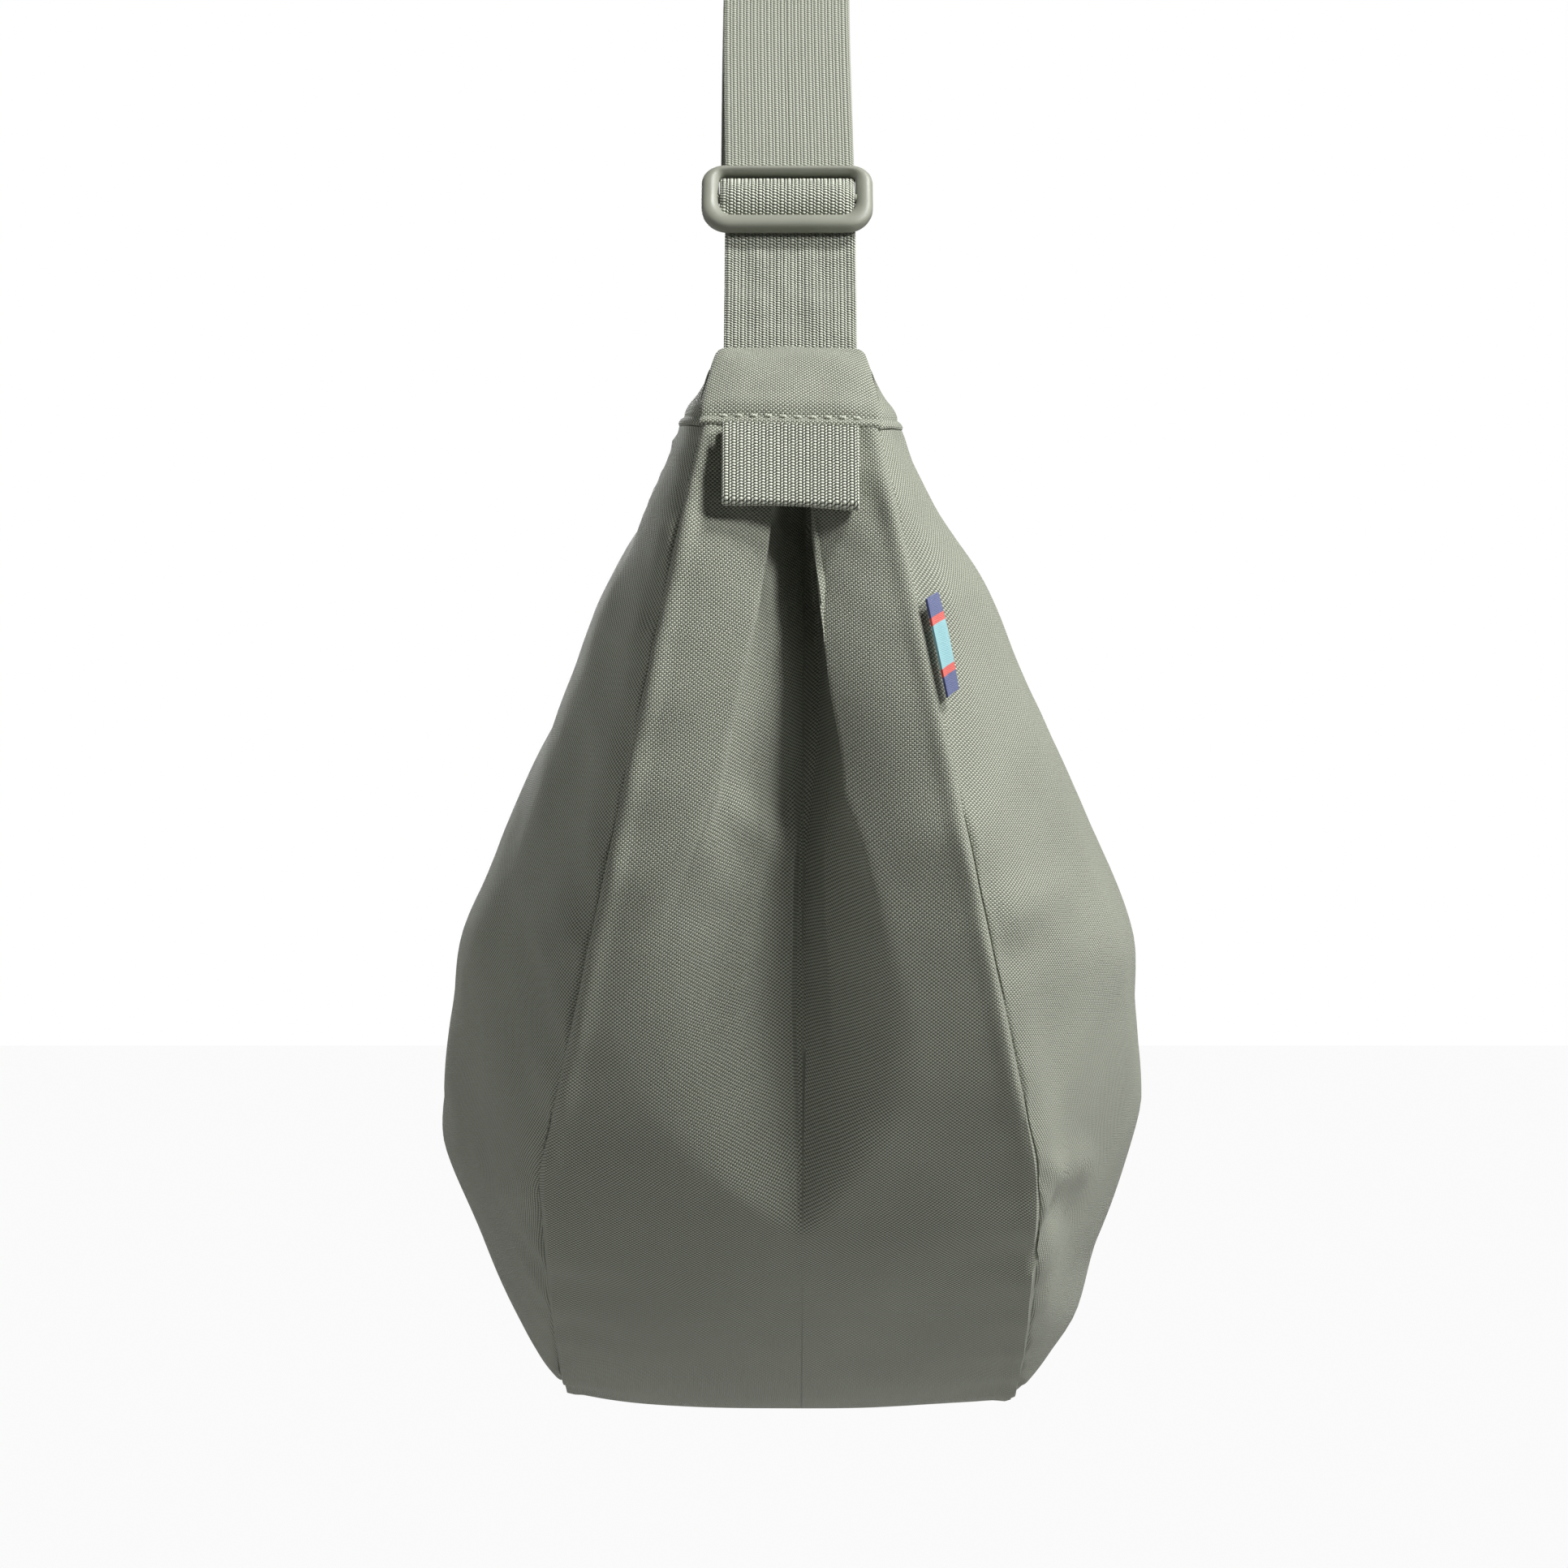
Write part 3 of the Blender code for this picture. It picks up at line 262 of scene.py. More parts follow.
# Soft folds where the photograph shows them: two end pixels, the width in pixels and the height
LEFT_FLAP_END_FOLD = ((884, 984), (975, 1050), 22, 0.0016)
LEFT_FLAP_LOW_FOLD = ((870, 1010), (900, 1120), 36, 0.0010)
RIGHT_SEAM_UPPER_FOLD = ((1228, 1135), (1320, 1085), 30, 0.0015)
RIGHT_SEAM_UPPER_DIP = ((1232, 1185), (1300, 1160), 24, -0.0010)
RIGHT_SEAM_LOWER_FOLD = ((1292, 1452), (1352, 1425), 20, 0.0019)
RIGHT_SEAM_LOWER_DIP = ((1290, 1490), (1335, 1500), 26, -0.0012)
RIGHT_SHOULDER_FOLD = ((1145, 640), (1185, 760), 22, 0.0009)
RIGHT_TAB_FOLD = ((1060, 560), (1110, 640), 18, 0.0004)
RIGHT_TAB_DIP = ((1065, 600), (1095, 680), 16, -0.0003)
LEFT_TAB_DIP = ((868, 575), (905, 640), 20, -0.0009)
LEFT_SHOULDER_FOLD = ((800, 770), (760, 800), 26, 0.0012)
LEFT_SEAM_UPPER_FOLD = ((725, 1150), (660, 1180), 34, 0.0012)
LEFT_SEAM_LOWER_FOLD = ((668, 1470), (610, 1455), 30, 0.0015)
BASE_DIP = ((900, 1620), (1180, 1640), 70, -0.0010)
CREASES = (
    LEFT_FLAP_END_FOLD, LEFT_FLAP_LOW_FOLD, RIGHT_SEAM_UPPER_FOLD, RIGHT_SEAM_UPPER_DIP,
    RIGHT_SEAM_LOWER_FOLD, RIGHT_SEAM_LOWER_DIP, RIGHT_SHOULDER_FOLD, RIGHT_TAB_FOLD, RIGHT_TAB_DIP,
    LEFT_TAB_DIP, LEFT_SHOULDER_FOLD, LEFT_SEAM_UPPER_FOLD, LEFT_SEAM_LOWER_FOLD, BASE_DIP,
)
CREASE_FADE = 0.35

# The same point on the bag's other side, and at its other end turned about
MIRROR = np.array((-1, 1, 1))
TURNED = np.array((-1, -1, 1))

# Counts and steps of the webbing's mesh
RIBBON_STEP = 0.0012
KNOT_STEP = 0.00022
COLUMNS_PER_RIB = 10

# The caps' mesh and relief
CAP_COLUMNS = 49
CAP_ROWS = 41
CAP_TURN_SHARE = 0.8
FLARE_TURN_SHARE = 0.72
STITCH_SINK = 0.00046
STITCH_SINK_WIDTH = 0.00062
FACE_HEM_ROLL = 0.00045
SIDE_HEM_ROLL = 0.00022
HEM_ROLL_AT = 0.0013
HEM_ROLL_WIDTH = 0.0010
ABOVE_HEM_PUFF = 0.00040
ABOVE_HEM_PUFF_AT = 0.0070
ABOVE_HEM_PUFF_WIDTH = 0.0030
HEM_EDGE_DROP = 0.00050
HEM_EDGE_WIDTH = 0.0005
TOP_EDGE_DROP = 0.00055
TOP_EDGE_WIDTH = 0.0010
CAP_SEAM_DROP = 0.00080
CAP_SEAM_WIDTH = 0.0011
CAP_PUFF = 0.0013
CAP_RUMPLE = 0.00022

# The webbing's bends and pulls
ROOT_FOLD_HEIGHT = 0.00036
ROOT_PULL_HEIGHT = 0.0008
ROOT_PULL_AT = 0.046
ROOT_TUCK = 0.0013
TAB_BULGE_SHARE = 0.10
TAB_BOW = 0.00025
ROLL_DROOP = 0.0010
ROLL_DROOP_RIGHT = 0.0005

# The adjuster's corners as (across, along) radii, and its section as (share across, height) round it
FRAME_LOW_CORNER = (0.0078, 0.0086)
FRAME_HIGH_CORNER = (0.0066, 0.0062)
OPENING_LOW_CORNER = (0.0040, 0.0046)
OPENING_HIGH_CORNER = (0.0022, 0.0022)
FRAME_POINTS = 180
FRAME_PROFILE = (
    (0.0, 0.10), (0.03, 0.48), (0.10, 0.72), (0.22, 0.90), (0.36, 1.0), (0.50, 1.0), (0.60, 0.96),
    (0.72, 0.82), (0.86, 0.62), (0.95, 0.40), (1.0, 0.10), (1.0, -0.55), (0.96, -0.85), (0.86, -1.0),
    (0.50, -1.0), (0.14, -1.0), (0.04, -0.85), (0.0, -0.55),
)

# The label's bands as shares of its length from its middle, its weave and the thread's twist
TEAL_TO = 0.22
CORAL_TO = 0.30
LABEL_WEFT = 0.00022
LABEL_WARP = 0.00030
THREAD_TWIST = 0.00055

# Threads, the label's mesh and the zip's parts
TOPSTITCH_LENGTH = 0.0021
TOPSTITCH_PITCH = 0.0030
TOPSTITCH_THREAD = 0.00045
THREAD_UV_STEPS = (0.00025, 0.0001)
LABEL_CELLS = (40, 8)
LABEL_CURL = 0.0004
TAPE_WEAVE = 0.00006
TAPE_WEAVE_PITCH = 0.0011
TOOTH_WIRE = TOOTH_PITCH * 0.36
TOOTH_LEAN = TOOTH_PITCH * 0.30
COIL_HEAD = -COIL_GAP_HALF * 0.55
PLATE_ROUNDING = 0.0007
PLATE_TAPER = 0.30
BAIL_SINK = 0.0004
PULLER_TAPER = 0.22
PULLER_PROFILE = (
    (0.0, -0.4), (0.0, 0.4), (0.05, 0.85), (0.14, 1.0), (0.5, 0.82), (0.86, 1.0), (0.96, 0.85),
    (1.0, 0.4), (1.0, -0.4), (0.96, -0.85), (0.86, -1.0), (0.5, -0.82), (0.14, -1.0), (0.05, -0.85),
)

# Angles above which edges stay sharp
SHEET_SHARP = math.radians(60)
TUBE_SHARP = math.radians(50)
BAIL_SHARP = math.radians(70)
BLOCK_SHARP = math.radians(75)
FRAME_SHARP = math.radians(80)

CAP_TOP_Z = -STRAP_DROP
HEM_Z = CAP_TOP_Z - CAP_HEIGHT
BAG_CENTRE_Z = HEM_Z - HEM_ABOVE_CENTRE
HEM_ANGLE = math.acos(-HEM_ABOVE_CENTRE / BAG_RADIUS)
ZIP_RADIUS = (ZIP_HALF_CHORD**2 + ZIP_SAG**2) / (2 * ZIP_SAG)
ZIP_CENTRE_Z = HEM_Z + ZIP_END_RISE + ZIP_RADIUS - ZIP_SAG
ZIP_ANGLE = math.asin(ZIP_HALF_CHORD / ZIP_RADIUS)
LAYER_PITCH = WEBBING_THICKNESS + CLEARANCE
INNER_LAYER_RADIUS = HANG_RADIUS + WEBBING_THICKNESS / 2
OUTER_LAYER_RADIUS = INNER_LAYER_RADIUS + LAYER_PITCH
ARC_LENGTH = BAG_RADIUS * HEM_ANGLE
LEG_RISE = STRAP_DROP - HANG_RADIUS
LEG_TANGENT_ANGLE = math.asin(OUTER_LAYER_RADIUS / math.hypot(CAP_HALF_SPAN, LEG_RISE))
LEAN = math.atan2(CAP_HALF_SPAN, LEG_RISE) - LEG_TANGENT_ANGLE

# The photograph's view, in its pixels and millimetres of sensor
FOCAL_PX = 4642.0
FRAME_PX = 1932.0
SENSOR_MM = 36.0
CAMERA_AT = (-0.0018, -1.27, HEM_Z - 0.0998)

# The stage: how far under the bag the floor lies, its shade as seen, and what lights the bag
FLOOR_BELOW_BAG = 0.30
FLOOR_SHADE = (0.96, 0.96, 0.96)
LIGHTS_AIM = (0.0, -0.1, -0.45)
ROOM_LIGHT = 0.01


# Materials


class Nodes:
    """A short way to write a material's nodes."""

    def __init__(self, name):
        self.material = bpy.data.materials.new(name)
        self.material.use_nodes = True
        self.tree = self.material.node_tree
        self.shader = self.tree.nodes["Principled BSDF"]

    def fill(self, node, sockets):
        """Joins what belongs in a node's sockets, or sets its numbers and colours."""
        for key, source in sockets.items():
            if isinstance(source, (int, float)):
                node.inputs[key].default_value = source
            elif isinstance(source, tuple):
                node.inputs[key].default_value = (*source, 1.0)
            elif source is not None:
                self.tree.links.new(source, node.inputs[key])

    def new(self, kind, sockets=None, **values):
        node = self.tree.nodes.new(kind)
        for key, value in values.items():
            setattr(node, key, value)
        self.fill(node, sockets or {})
        return node

    def math(self, operation, a, b=None):
        return self.new("ShaderNodeMath", {0: a, 1: b}, operation=operation).outputs[0]

    def times(self, a, b):
        return self.math("MULTIPLY", a, b)

    def plus(self, a, b):
        return self.math("ADD", a, b)

    def minus(self, a, b):
        return self.math("SUBTRACT", a, b)

    def sine(self, value, half_wave):
        return self.math("SINE", self.times(value, math.pi / half_wave))

    def uv(self):
        coordinates = self.new("ShaderNodeTexCoord").outputs["UV"]
        parts = self.new("ShaderNodeSeparateXYZ", {0: coordinates})
        return coordinates, parts.outputs[0], parts.outputs[1]

    def noise(self, vector, scale, detail=3.0):
        sockets = {"Scale": scale, "Detail": detail, "Vector": vector}
        return self.new("ShaderNodeTexNoise", sockets).outputs["Fac"]

    def mix(self, factor, a, b, blend="MIX"):
        sockets = {"Factor": factor, "A": a, "B": b}
        return self.new("ShaderNodeMix", sockets, data_type="RGBA", blend_type=blend).outputs["Result"]

    def ramp(self, value, low, high, to_low=0.0, to_high=1.0):
        sockets = {"Value": value, "From Min": low, "From Max": high, "To Min": to_low, "To Max": to_high}
        return self.new("ShaderNodeMapRange", sockets, interpolation_type="SMOOTHSTEP").outputs["Result"]

    def bump(self, height, distance, strength=1.0, normal=None):
        sockets = {"Strength": strength, "Distance": distance, "Height": height, "Normal": normal}
        return self.new("ShaderNodeBump", sockets).outputs["Normal"]

    def finish(self, colour, roughness, normal=None, **sockets):
        self.fill(self.shader, {"Base Color": colour, "Roughness": roughness, "Normal": normal})
        self.fill(self.shader, {key.replace("_", " "): value for key, value in sockets.items()})
        return self.material


def woven(name, light, dark, warp=0.00064, weft=0.00055, depth=0.00016, fleck=1.0):
    """Plain weave: one yarn over, one under, with paler flecks where one yarn lies over, painted highlights,
    on a darker ground of painted shade.
    """
    n = Nodes(name)
    vector, x, y = n.uv()
    drift = n.times(n.minus(n.noise(vector, 60.0), 0.5), warp * 1.2)
    across = n.sine(n.plus(x, drift), warp)
    along = n.sine(n.plus(y, drift), weft)
    cell = n.times(across, along)
    height = n.math("POWER", n.math("ABSOLUTE", cell), 0.6)
    over = n.ramp(cell, -0.35, 0.50)
    slub = n.noise(vector, 900.0, 2.0)
    stain = n.noise(vector, 14.0, 4.0)
    # Painted light and shade: paler flecks on the crossings as highlights, a darker ground as shade
    colour = n.mix(n.times(over, fleck), dark, light)
    colour = n.mix(n.ramp(slub, 0.35, 0.7, 0.0, 0.30), colour, n.mix(0.5, light, dark))
    tone = n.ramp(stain, 0.3, 0.7, 0.93, 1.03)
    shade = n.new("ShaderNodeCombineColor", {channel: tone for channel in range(3)})
    colour = n.mix(1.0, colour, shade.outputs[0], "MULTIPLY")
    fine = n.bump(height, depth, 1.0)
    soft = n.bump(n.noise(vector, 130.0, 3.0), 0.0004, 0.25, fine)
    roughness = n.ramp(over, 0.0, 1.0, 0.80, 0.52)
    return n.finish(colour, roughness, soft, Sheen_Weight=0.10, Sheen_Roughness=0.5, Specular_IOR_Level=0.38)


def ribbed(name, light, dark, rib=RIB_PITCH, knot=KNOT_PITCH, depth=0.00026, split=RIB_SPLIT):
    """Webbing: ribs along it, each with a wide and a narrow column of knots, half a knot apart."""
    n = Nodes(name)
    vector, x, y = n.uv()
    cell = n.math("FRACT", n.plus(n.math("DIVIDE", x, rib), 1000.0))
    narrow = n.math("GREATER_THAN", cell, split)
    wide_at = n.minus(n.math("DIVIDE", cell, split), 0.5)
    narrow_at = n.minus(n.math("DIVIDE", n.minus(cell, split), 1 - split), 0.5)
    in_wide = n.times(n.minus(1.0, narrow), wide_at)
    at = n.plus(in_wide, n.times(narrow, narrow_at))
    slant = n.times(at, n.plus(0.12, n.times(narrow, 0.55)))
    drift = n.times(n.minus(n.noise(vector, 160.0), 0.5), 0.5)
    turn = n.plus(n.math("DIVIDE", y, knot), n.times(narrow, 0.5))
    turn = n.plus(turn, n.plus(slant, drift))
    lap = n.math("ABSOLUTE", n.math("COSINE", n.times(turn, math.pi)))
    side = n.math("COSINE", n.times(at, math.pi * 0.94))
    yarn = n.times(n.math("POWER", lap, 0.75), n.math("POWER", n.math("MAXIMUM", side, 0.0), 0.6))
    fibre = n.noise(vector, 5200.0, 2.0)
    # Painted light and shade: the raised knots painted pale as highlights, the gaps between knots and ribs
    # painted dark as shade
    colour = n.mix(n.ramp(yarn, 0.12, 0.72), dark, light)
    colour = n.mix(n.ramp(fibre, 0.45, 0.75, 0.0, 0.22), colour, dark)
    fine = n.bump(yarn, depth, 1.0)
    normal = n.bump(fibre, 0.00004, 0.3, fine)
    roughness = n.ramp(yarn, 0.0, 1.0, 0.85, 0.50)
    return n.finish(colour, roughness, normal, Sheen_Weight=0.08, Specular_IOR_Level=0.42)


def moulded(name, colour, roughness=0.46):
    """Moulded plastic with a fine spark-eroded grain, and slightly paler along its sharp edges."""
    n = Nodes(name)
    coordinates = n.new("ShaderNodeTexCoord").outputs["Object"]
    grain = n.noise(coordinates, 2600.0, 3.0)
    cloud = n.noise(coordinates, 60.0, 4.0)
    edge = n.new("ShaderNodeNewGeometry").outputs["Pointiness"]
    paler = tuple(min(1.0, c * 1.28) for c in colour)
    darker = tuple(c * 0.88 for c in colour)
    mixed = n.mix(n.ramp(cloud, 0.3, 0.7), darker, colour)
    mixed = n.mix(n.ramp(edge, 0.52, 0.60, 0.0, 0.55), mixed, paler)
    rough = n.ramp(cloud, 0.3, 0.7, roughness + 0.07, roughness - 0.04)
    return n.finish(mixed, rough, n.bump(grain, 0.00005, 0.5), Specular_IOR_Level=0.45)


def painted_metal(name, colour):
    """Lacquered zinc, as on a zip slider, paler along its sharp edges."""
    n = Nodes(name)
    coordinates = n.new("ShaderNodeTexCoord").outputs["Object"]
    speck = n.noise(coordinates, 1800.0, 3.0)
    edge = n.new("ShaderNodeNewGeometry").outputs["Pointiness"]
    paler = tuple(min(1.0, c * 1.7) for c in colour)
    mixed = n.mix(n.ramp(edge, 0.52, 0.62, 0.0, 0.7), colour, paler)
    rough = n.ramp(speck, 0.3, 0.7, 0.34, 0.44)
    return n.finish(mixed, rough, n.bump(speck, 0.00003, 0.4), Metallic=0.35)


def spun_thread(name, colour):
    """Twisted polyester thread, painted darker in the twist's grooves as shade."""
    n = Nodes(name)
    _, x, y = n.uv()
    twist = n.sine(n.plus(x, y), THREAD_TWIST / 2)
    mixed = n.mix(n.ramp(twist, -1.0, 1.0), tuple(c * 0.72 for c in colour), colour)
    return n.finish(mixed, 0.5, n.bump(twist, 0.0001, 0.6), Sheen_Weight=0.1)


def woven_label(name):
    """A damask label with five plain bands along its length."""
    n = Nodes(name)
    _, x, y = n.uv()
    navy, coral, teal = (0.024, 0.046, 0.190), (0.62, 0.040, 0.020), (0.20, 0.46, 0.50)
    share = n.math("DIVIDE", y, LABEL_LENGTH)
    from_middle = n.math("ABSOLUTE", n.minus(share, 0.5))
    colour = n.mix(n.math("GREATER_THAN", from_middle, TEAL_TO), teal, coral)
    colour = n.mix(n.math("GREATER_THAN", from_middle, CORAL_TO), colour, navy)
    thread = n.times(n.sine(y, LABEL_WEFT), n.sine(x, LABEL_WARP))
    # The raised threads are painted paler, towards grey, as painted highlights
    colour = n.mix(n.ramp(thread, -1.0, 1.0, 0.0, 0.14), colour, (0.75, 0.75, 0.75))
    return n.finish(colour, 0.42, n.bump(thread, 0.00008, 0.6), Sheen_Weight=0.2)


# The shell and the lining carry the weave's painted highlights and painted shade
SHELL = woven("sage_plain_weave", (0.520, 0.548, 0.441), (0.122, 0.129, 0.100))
WEB = ribbed("sage_webbing", (0.415, 0.437, 0.357), (0.148, 0.156, 0.123))
# Lit copies of the strap's webbing for the adjuster's roll, the root and the tabs: paler knots and darker
# gaps, painted light and shade where these parts catch more light
CLOSE_WEB_PAINTED_LIT = ribbed("sage_webbing_close_painted_lit", (0.640, 0.672, 0.556), (0.042, 0.045, 0.034), depth=0.00042)
ROOT_WEB_PAINTED_LIT = ribbed("sage_webbing_root_painted_lit", (0.565, 0.593, 0.491), (0.042, 0.045, 0.034), depth=0.00042)
TAB_WEB_PAINTED_LIT = ribbed("sage_webbing_tab_painted_lit", (0.715, 0.751, 0.621), (0.050, 0.053, 0.041), depth=0.00042)
PLASTIC = moulded("sage_moulding", (0.262, 0.272, 0.222))
METAL = painted_metal("lacquered_slider", (0.225, 0.235, 0.190))
THREAD = spun_thread("sage_thread", (0.520, 0.548, 0.450))
# The zip tape's weave takes the same painted highlights on its knots and painted shade in its gaps
TAPE = ribbed("zip_tape_weave", (0.300, 0.315, 0.255), (0.130, 0.138, 0.108), 0.0011, 0.0007, 0.00010)
COIL = moulded("coil_nylon", (0.205, 0.215, 0.172), 0.40)
LINING = woven("lining_plain_weave", (0.40, 0.41, 0.37), (0.26, 0.27, 0.24), 0.0003, 0.0003, 0.00006, 0.6)
LABEL = woven_label("striped_label")


# Mesh helpers


def mesh_object(name, vertices, faces, uvs, material):
    """A smooth mesh from arrays, with one texture coordinate for each vertex."""
    mesh = bpy.data.meshes.new(name)
    mesh.from_pydata([tuple(map(float, v)) for v in vertices], [], faces)
    layer = mesh.uv_layers.new(name="UVMap")
    corners = np.empty(len(mesh.loops), int)
    mesh.loops.foreach_get("vertex_index", corners)
    layer.data.foreach_set("uv", np.asarray(uvs, float)[corners].ravel().astype(np.float32))
    mesh.materials.append(material)
    mesh.shade_smooth()
    made = bpy.data.objects.new(name, mesh)
    bpy.context.scene.collection.objects.link(made)
    return made


def sheet_mesh(name, outer, inner, uv, material):
    """A closed sheet between two grids of points of the same size."""
    rows, columns = outer.shape[:2]
    count = rows * columns
    vertices = np.concatenate([outer.reshape(-1, 3), inner.reshape(-1, 3)])
    uvs = np.concatenate([uv.reshape(-1, 2), uv.reshape(-1, 2)])
    index = np.arange(count).reshape(rows, columns)
    a, b = index[:-1, :-1].ravel(), index[:-1, 1:].ravel()
    c, d = index[1:, 1:].ravel(), index[1:, :-1].ravel()
    faces = [np.stack([a, b, c, d], 1), np.stack([a, d, c, b], 1) + count]
    for line in (index[0], index[:, -1], index[-1, ::-1], index[::-1, 0]):
        faces.append(np.stack([line[1:], line[:-1], line[:-1] + count, line[1:] + count], 1))
    made = mesh_object(name, vertices, np.concatenate(faces).tolist(), uvs, material)
    made.data.set_sharp_from_angle(angle=SHEET_SHARP)
    outward(made)
    return made


def tube_faces(count, size, closed=False):
    """Faces that join count rings of size points, with flat ends unless the last meets the first."""
    index = np.arange(count * size).reshape(count, size)
    following = np.roll(index, -1, axis=1)
    faces = []
    for i in range(count if closed else count - 1):
        j = (i + 1) % count
        faces += np.stack([index[i], following[i], following[j], index[j]], 1).tolist()
    if not closed:
        faces += [index[0][::-1].tolist(), index[-1].tolist()]
    return faces


def tube_mesh(name, rings, material, uvs=None, closed=False, sharp=TUBE_SHARP):
    """Rings of points joined into a tube."""
    rings = np.array(rings)
    uvs = np.zeros((*rings.shape[:2], 2)) if uvs is None else uvs
    faces = tube_faces(*rings.shape[:2], closed)
    made = mesh_object(name, rings.reshape(-1, 3), faces, uvs.reshape(-1, 2), material)
    outward(made)
    made.data.set_sharp_from_angle(angle=sharp)
    return made


def dress(made, node, body):
    """Puts a piece in its solid's place and on its body."""
    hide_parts(node)
    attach(made, body)


def outward(made):
    """Turns all faces outward."""
    data = bmesh.new()
    data.from_mesh(made.data)
    bmesh.ops.recalc_face_normals(data, faces=data.faces)
    data.to_mesh(made.data)
    data.free()


def normals_of(grid):
    """Outward unit normals of a dense grid."""
    rows = np.gradient(grid, axis=0)
    columns = np.gradient(grid, axis=1)
    normals = np.cross(columns, rows)
    return normals / np.maximum(np.linalg.norm(normals, axis=2, keepdims=True), 1e-12)


def lengths_along(points):
    """Distance along a line of points."""
    steps = np.linalg.norm(np.diff(points, axis=0), axis=1)
    return np.concatenate([[0.0], np.cumsum(steps)])


def runs_across(grid):
    """Distance along each row of a grid."""
    steps = np.linalg.norm(np.diff(grid, axis=1), axis=2)
    return np.concatenate([np.zeros((len(grid), 1)), np.cumsum(steps, axis=1)], axis=1)


def at_lengths(line, at, values=None):
    """A line's points, or other values given at them, at distances along it."""
    along = lengths_along(line)
    values = line if values is None else values
    return np.stack([np.interp(at, along, values[:, k]) for k in range(values.shape[1])], -1)


def spread_evenly(line, count, closed=False):
    """The same line, or closed outline, as count evenly spaced points."""
    if closed:
        line = np.concatenate([line, line[:1]])
    return at_lengths(line, np.linspace(0, lengths_along(line)[-1], count, endpoint=not closed))


def circle(count):
    """Even angles round a full turn."""
    return np.linspace(0, 2 * math.pi, count, endpoint=False)


def unit(vectors):
    return vectors / np.linalg.norm(vectors, axis=-1, keepdims=True)


def signed_power(value, power):
    return np.copysign(np.abs(value) ** power, value)


def bell(distance, width):
    """1 at no distance, fading to nothing beyond the width."""
    return np.exp(-((distance / width) ** 2))


def smooth_step(value):
    value = np.clip(value, 0.0, 1.0)
    return value * value * (3 - 2 * value)


def curve_through(x, xs, ys):
    """A smooth curve through a table that never overshoots it."""
    xs, ys = np.asarray(xs, float), np.asarray(ys, float)
    steps = np.diff(xs)
    slopes = np.diff(ys) / steps
    tangents = np.zeros(len(xs))
    for k in range(1, len(xs) - 1):
        if slopes[k - 1] * slopes[k] > 0:
            w1, w2 = 2 * steps[k] + steps[k - 1], steps[k] + 2 * steps[k - 1]
            tangents[k] = (w1 + w2) / (w1 / slopes[k - 1] + w2 / slopes[k])
    tangents[-1] = slopes[-1]
    x = np.clip(x, xs[0], xs[-1])
    k = np.clip(np.searchsorted(xs, x, side="right") - 1, 0, len(steps) - 1)
    h = steps[k]
    t = (x - xs[k]) / h
    return (
        ys[k] * (1 + 2 * t) * (1 - t) ** 2
        + tangents[k] * h * t * (1 - t) ** 2
        + ys[k + 1] * t * t * (3 - 2 * t)
        - tangents[k + 1] * h * t * t * (1 - t)
    )


def waves(a, b, count, low, high, seed):
    """A soft random field from a few sine waves, about -1 to 1."""
    random = np.random.RandomState(seed)
    total = 0.0
    for _ in range(count):
        angle, phase = random.uniform(0, 2 * math.pi, 2)
        number = 2 * math.pi / random.uniform(low, high)
        total = total + np.sin((a * math.cos(angle) + b * math.sin(angle)) * number + phase)
    return total / math.sqrt(count)


# The bag's cloth


def leg_place(end, x, s, n):
    """Points on a strap leg: s up from the cap's top edge, n out from the webbing."""
    x, s, n = np.broadcast_arrays(np.asarray(x, float), s, n)
    y = CAP_HALF_SPAN - s * math.sin(LEAN) + n * math.cos(LEAN)
    z = CAP_TOP_Z + s * math.cos(LEAN) + n * math.sin(LEAN)
    return np.stack([x, end * y, z], -1)


def zip_place(angle, x, h):
    """Points along the zip's arc, h up out of the bag."""
    angle, x, h = np.broadcast_arrays(np.asarray(angle, float), x, h)
    radius = ZIP_RADIUS - h
    return np.stack([x, radius * np.sin(angle), ZIP_CENTRE_Z - radius * np.cos(angle)], -1)


def section_axis(u):
    zip_angle, outer_angle = u * ZIP_ANGLE, u * HEM_ANGLE
    start = np.array((ZIP_RADIUS * math.sin(zip_angle), ZIP_CENTRE_Z - ZIP_RADIUS * math.cos(zip_angle)))
    end = np.array((BAG_RADIUS * math.sin(outer_angle), BAG_CENTRE_Z - BAG_RADIUS * math.cos(outer_angle)))
    depth = np.linalg.norm(end - start)
    return start, (end - start) / depth, depth


def base_half_at(u):
    """Half the base strip's width at one station: it widens evenly, then turns to its full width."""
    near = (1 - abs(u)) / (1 - BASE_FULL_SHARE)
    growth = min(near, 1.0)
    if abs(near - 1) < BASE_TURN:
        growth = 1 - (1 + BASE_TURN - near) ** 2 / (4 * BASE_TURN)
    return HORN_BASE_HALF_WIDTH + (BASE_HALF_WIDTH - HORN_BASE_HALF_WIDTH) * growth


def corner_lift(u, right):
    """How much the base's long edges stand above its middle where the bag rests."""
    lift = np.where(right, BASE_RIGHT_CORNER_LIFT, BASE_LEFT_CORNER_LIFT)
    return lift * smooth_step((BASE_FULL_SHARE + 0.12 - abs(u)) / 0.24)


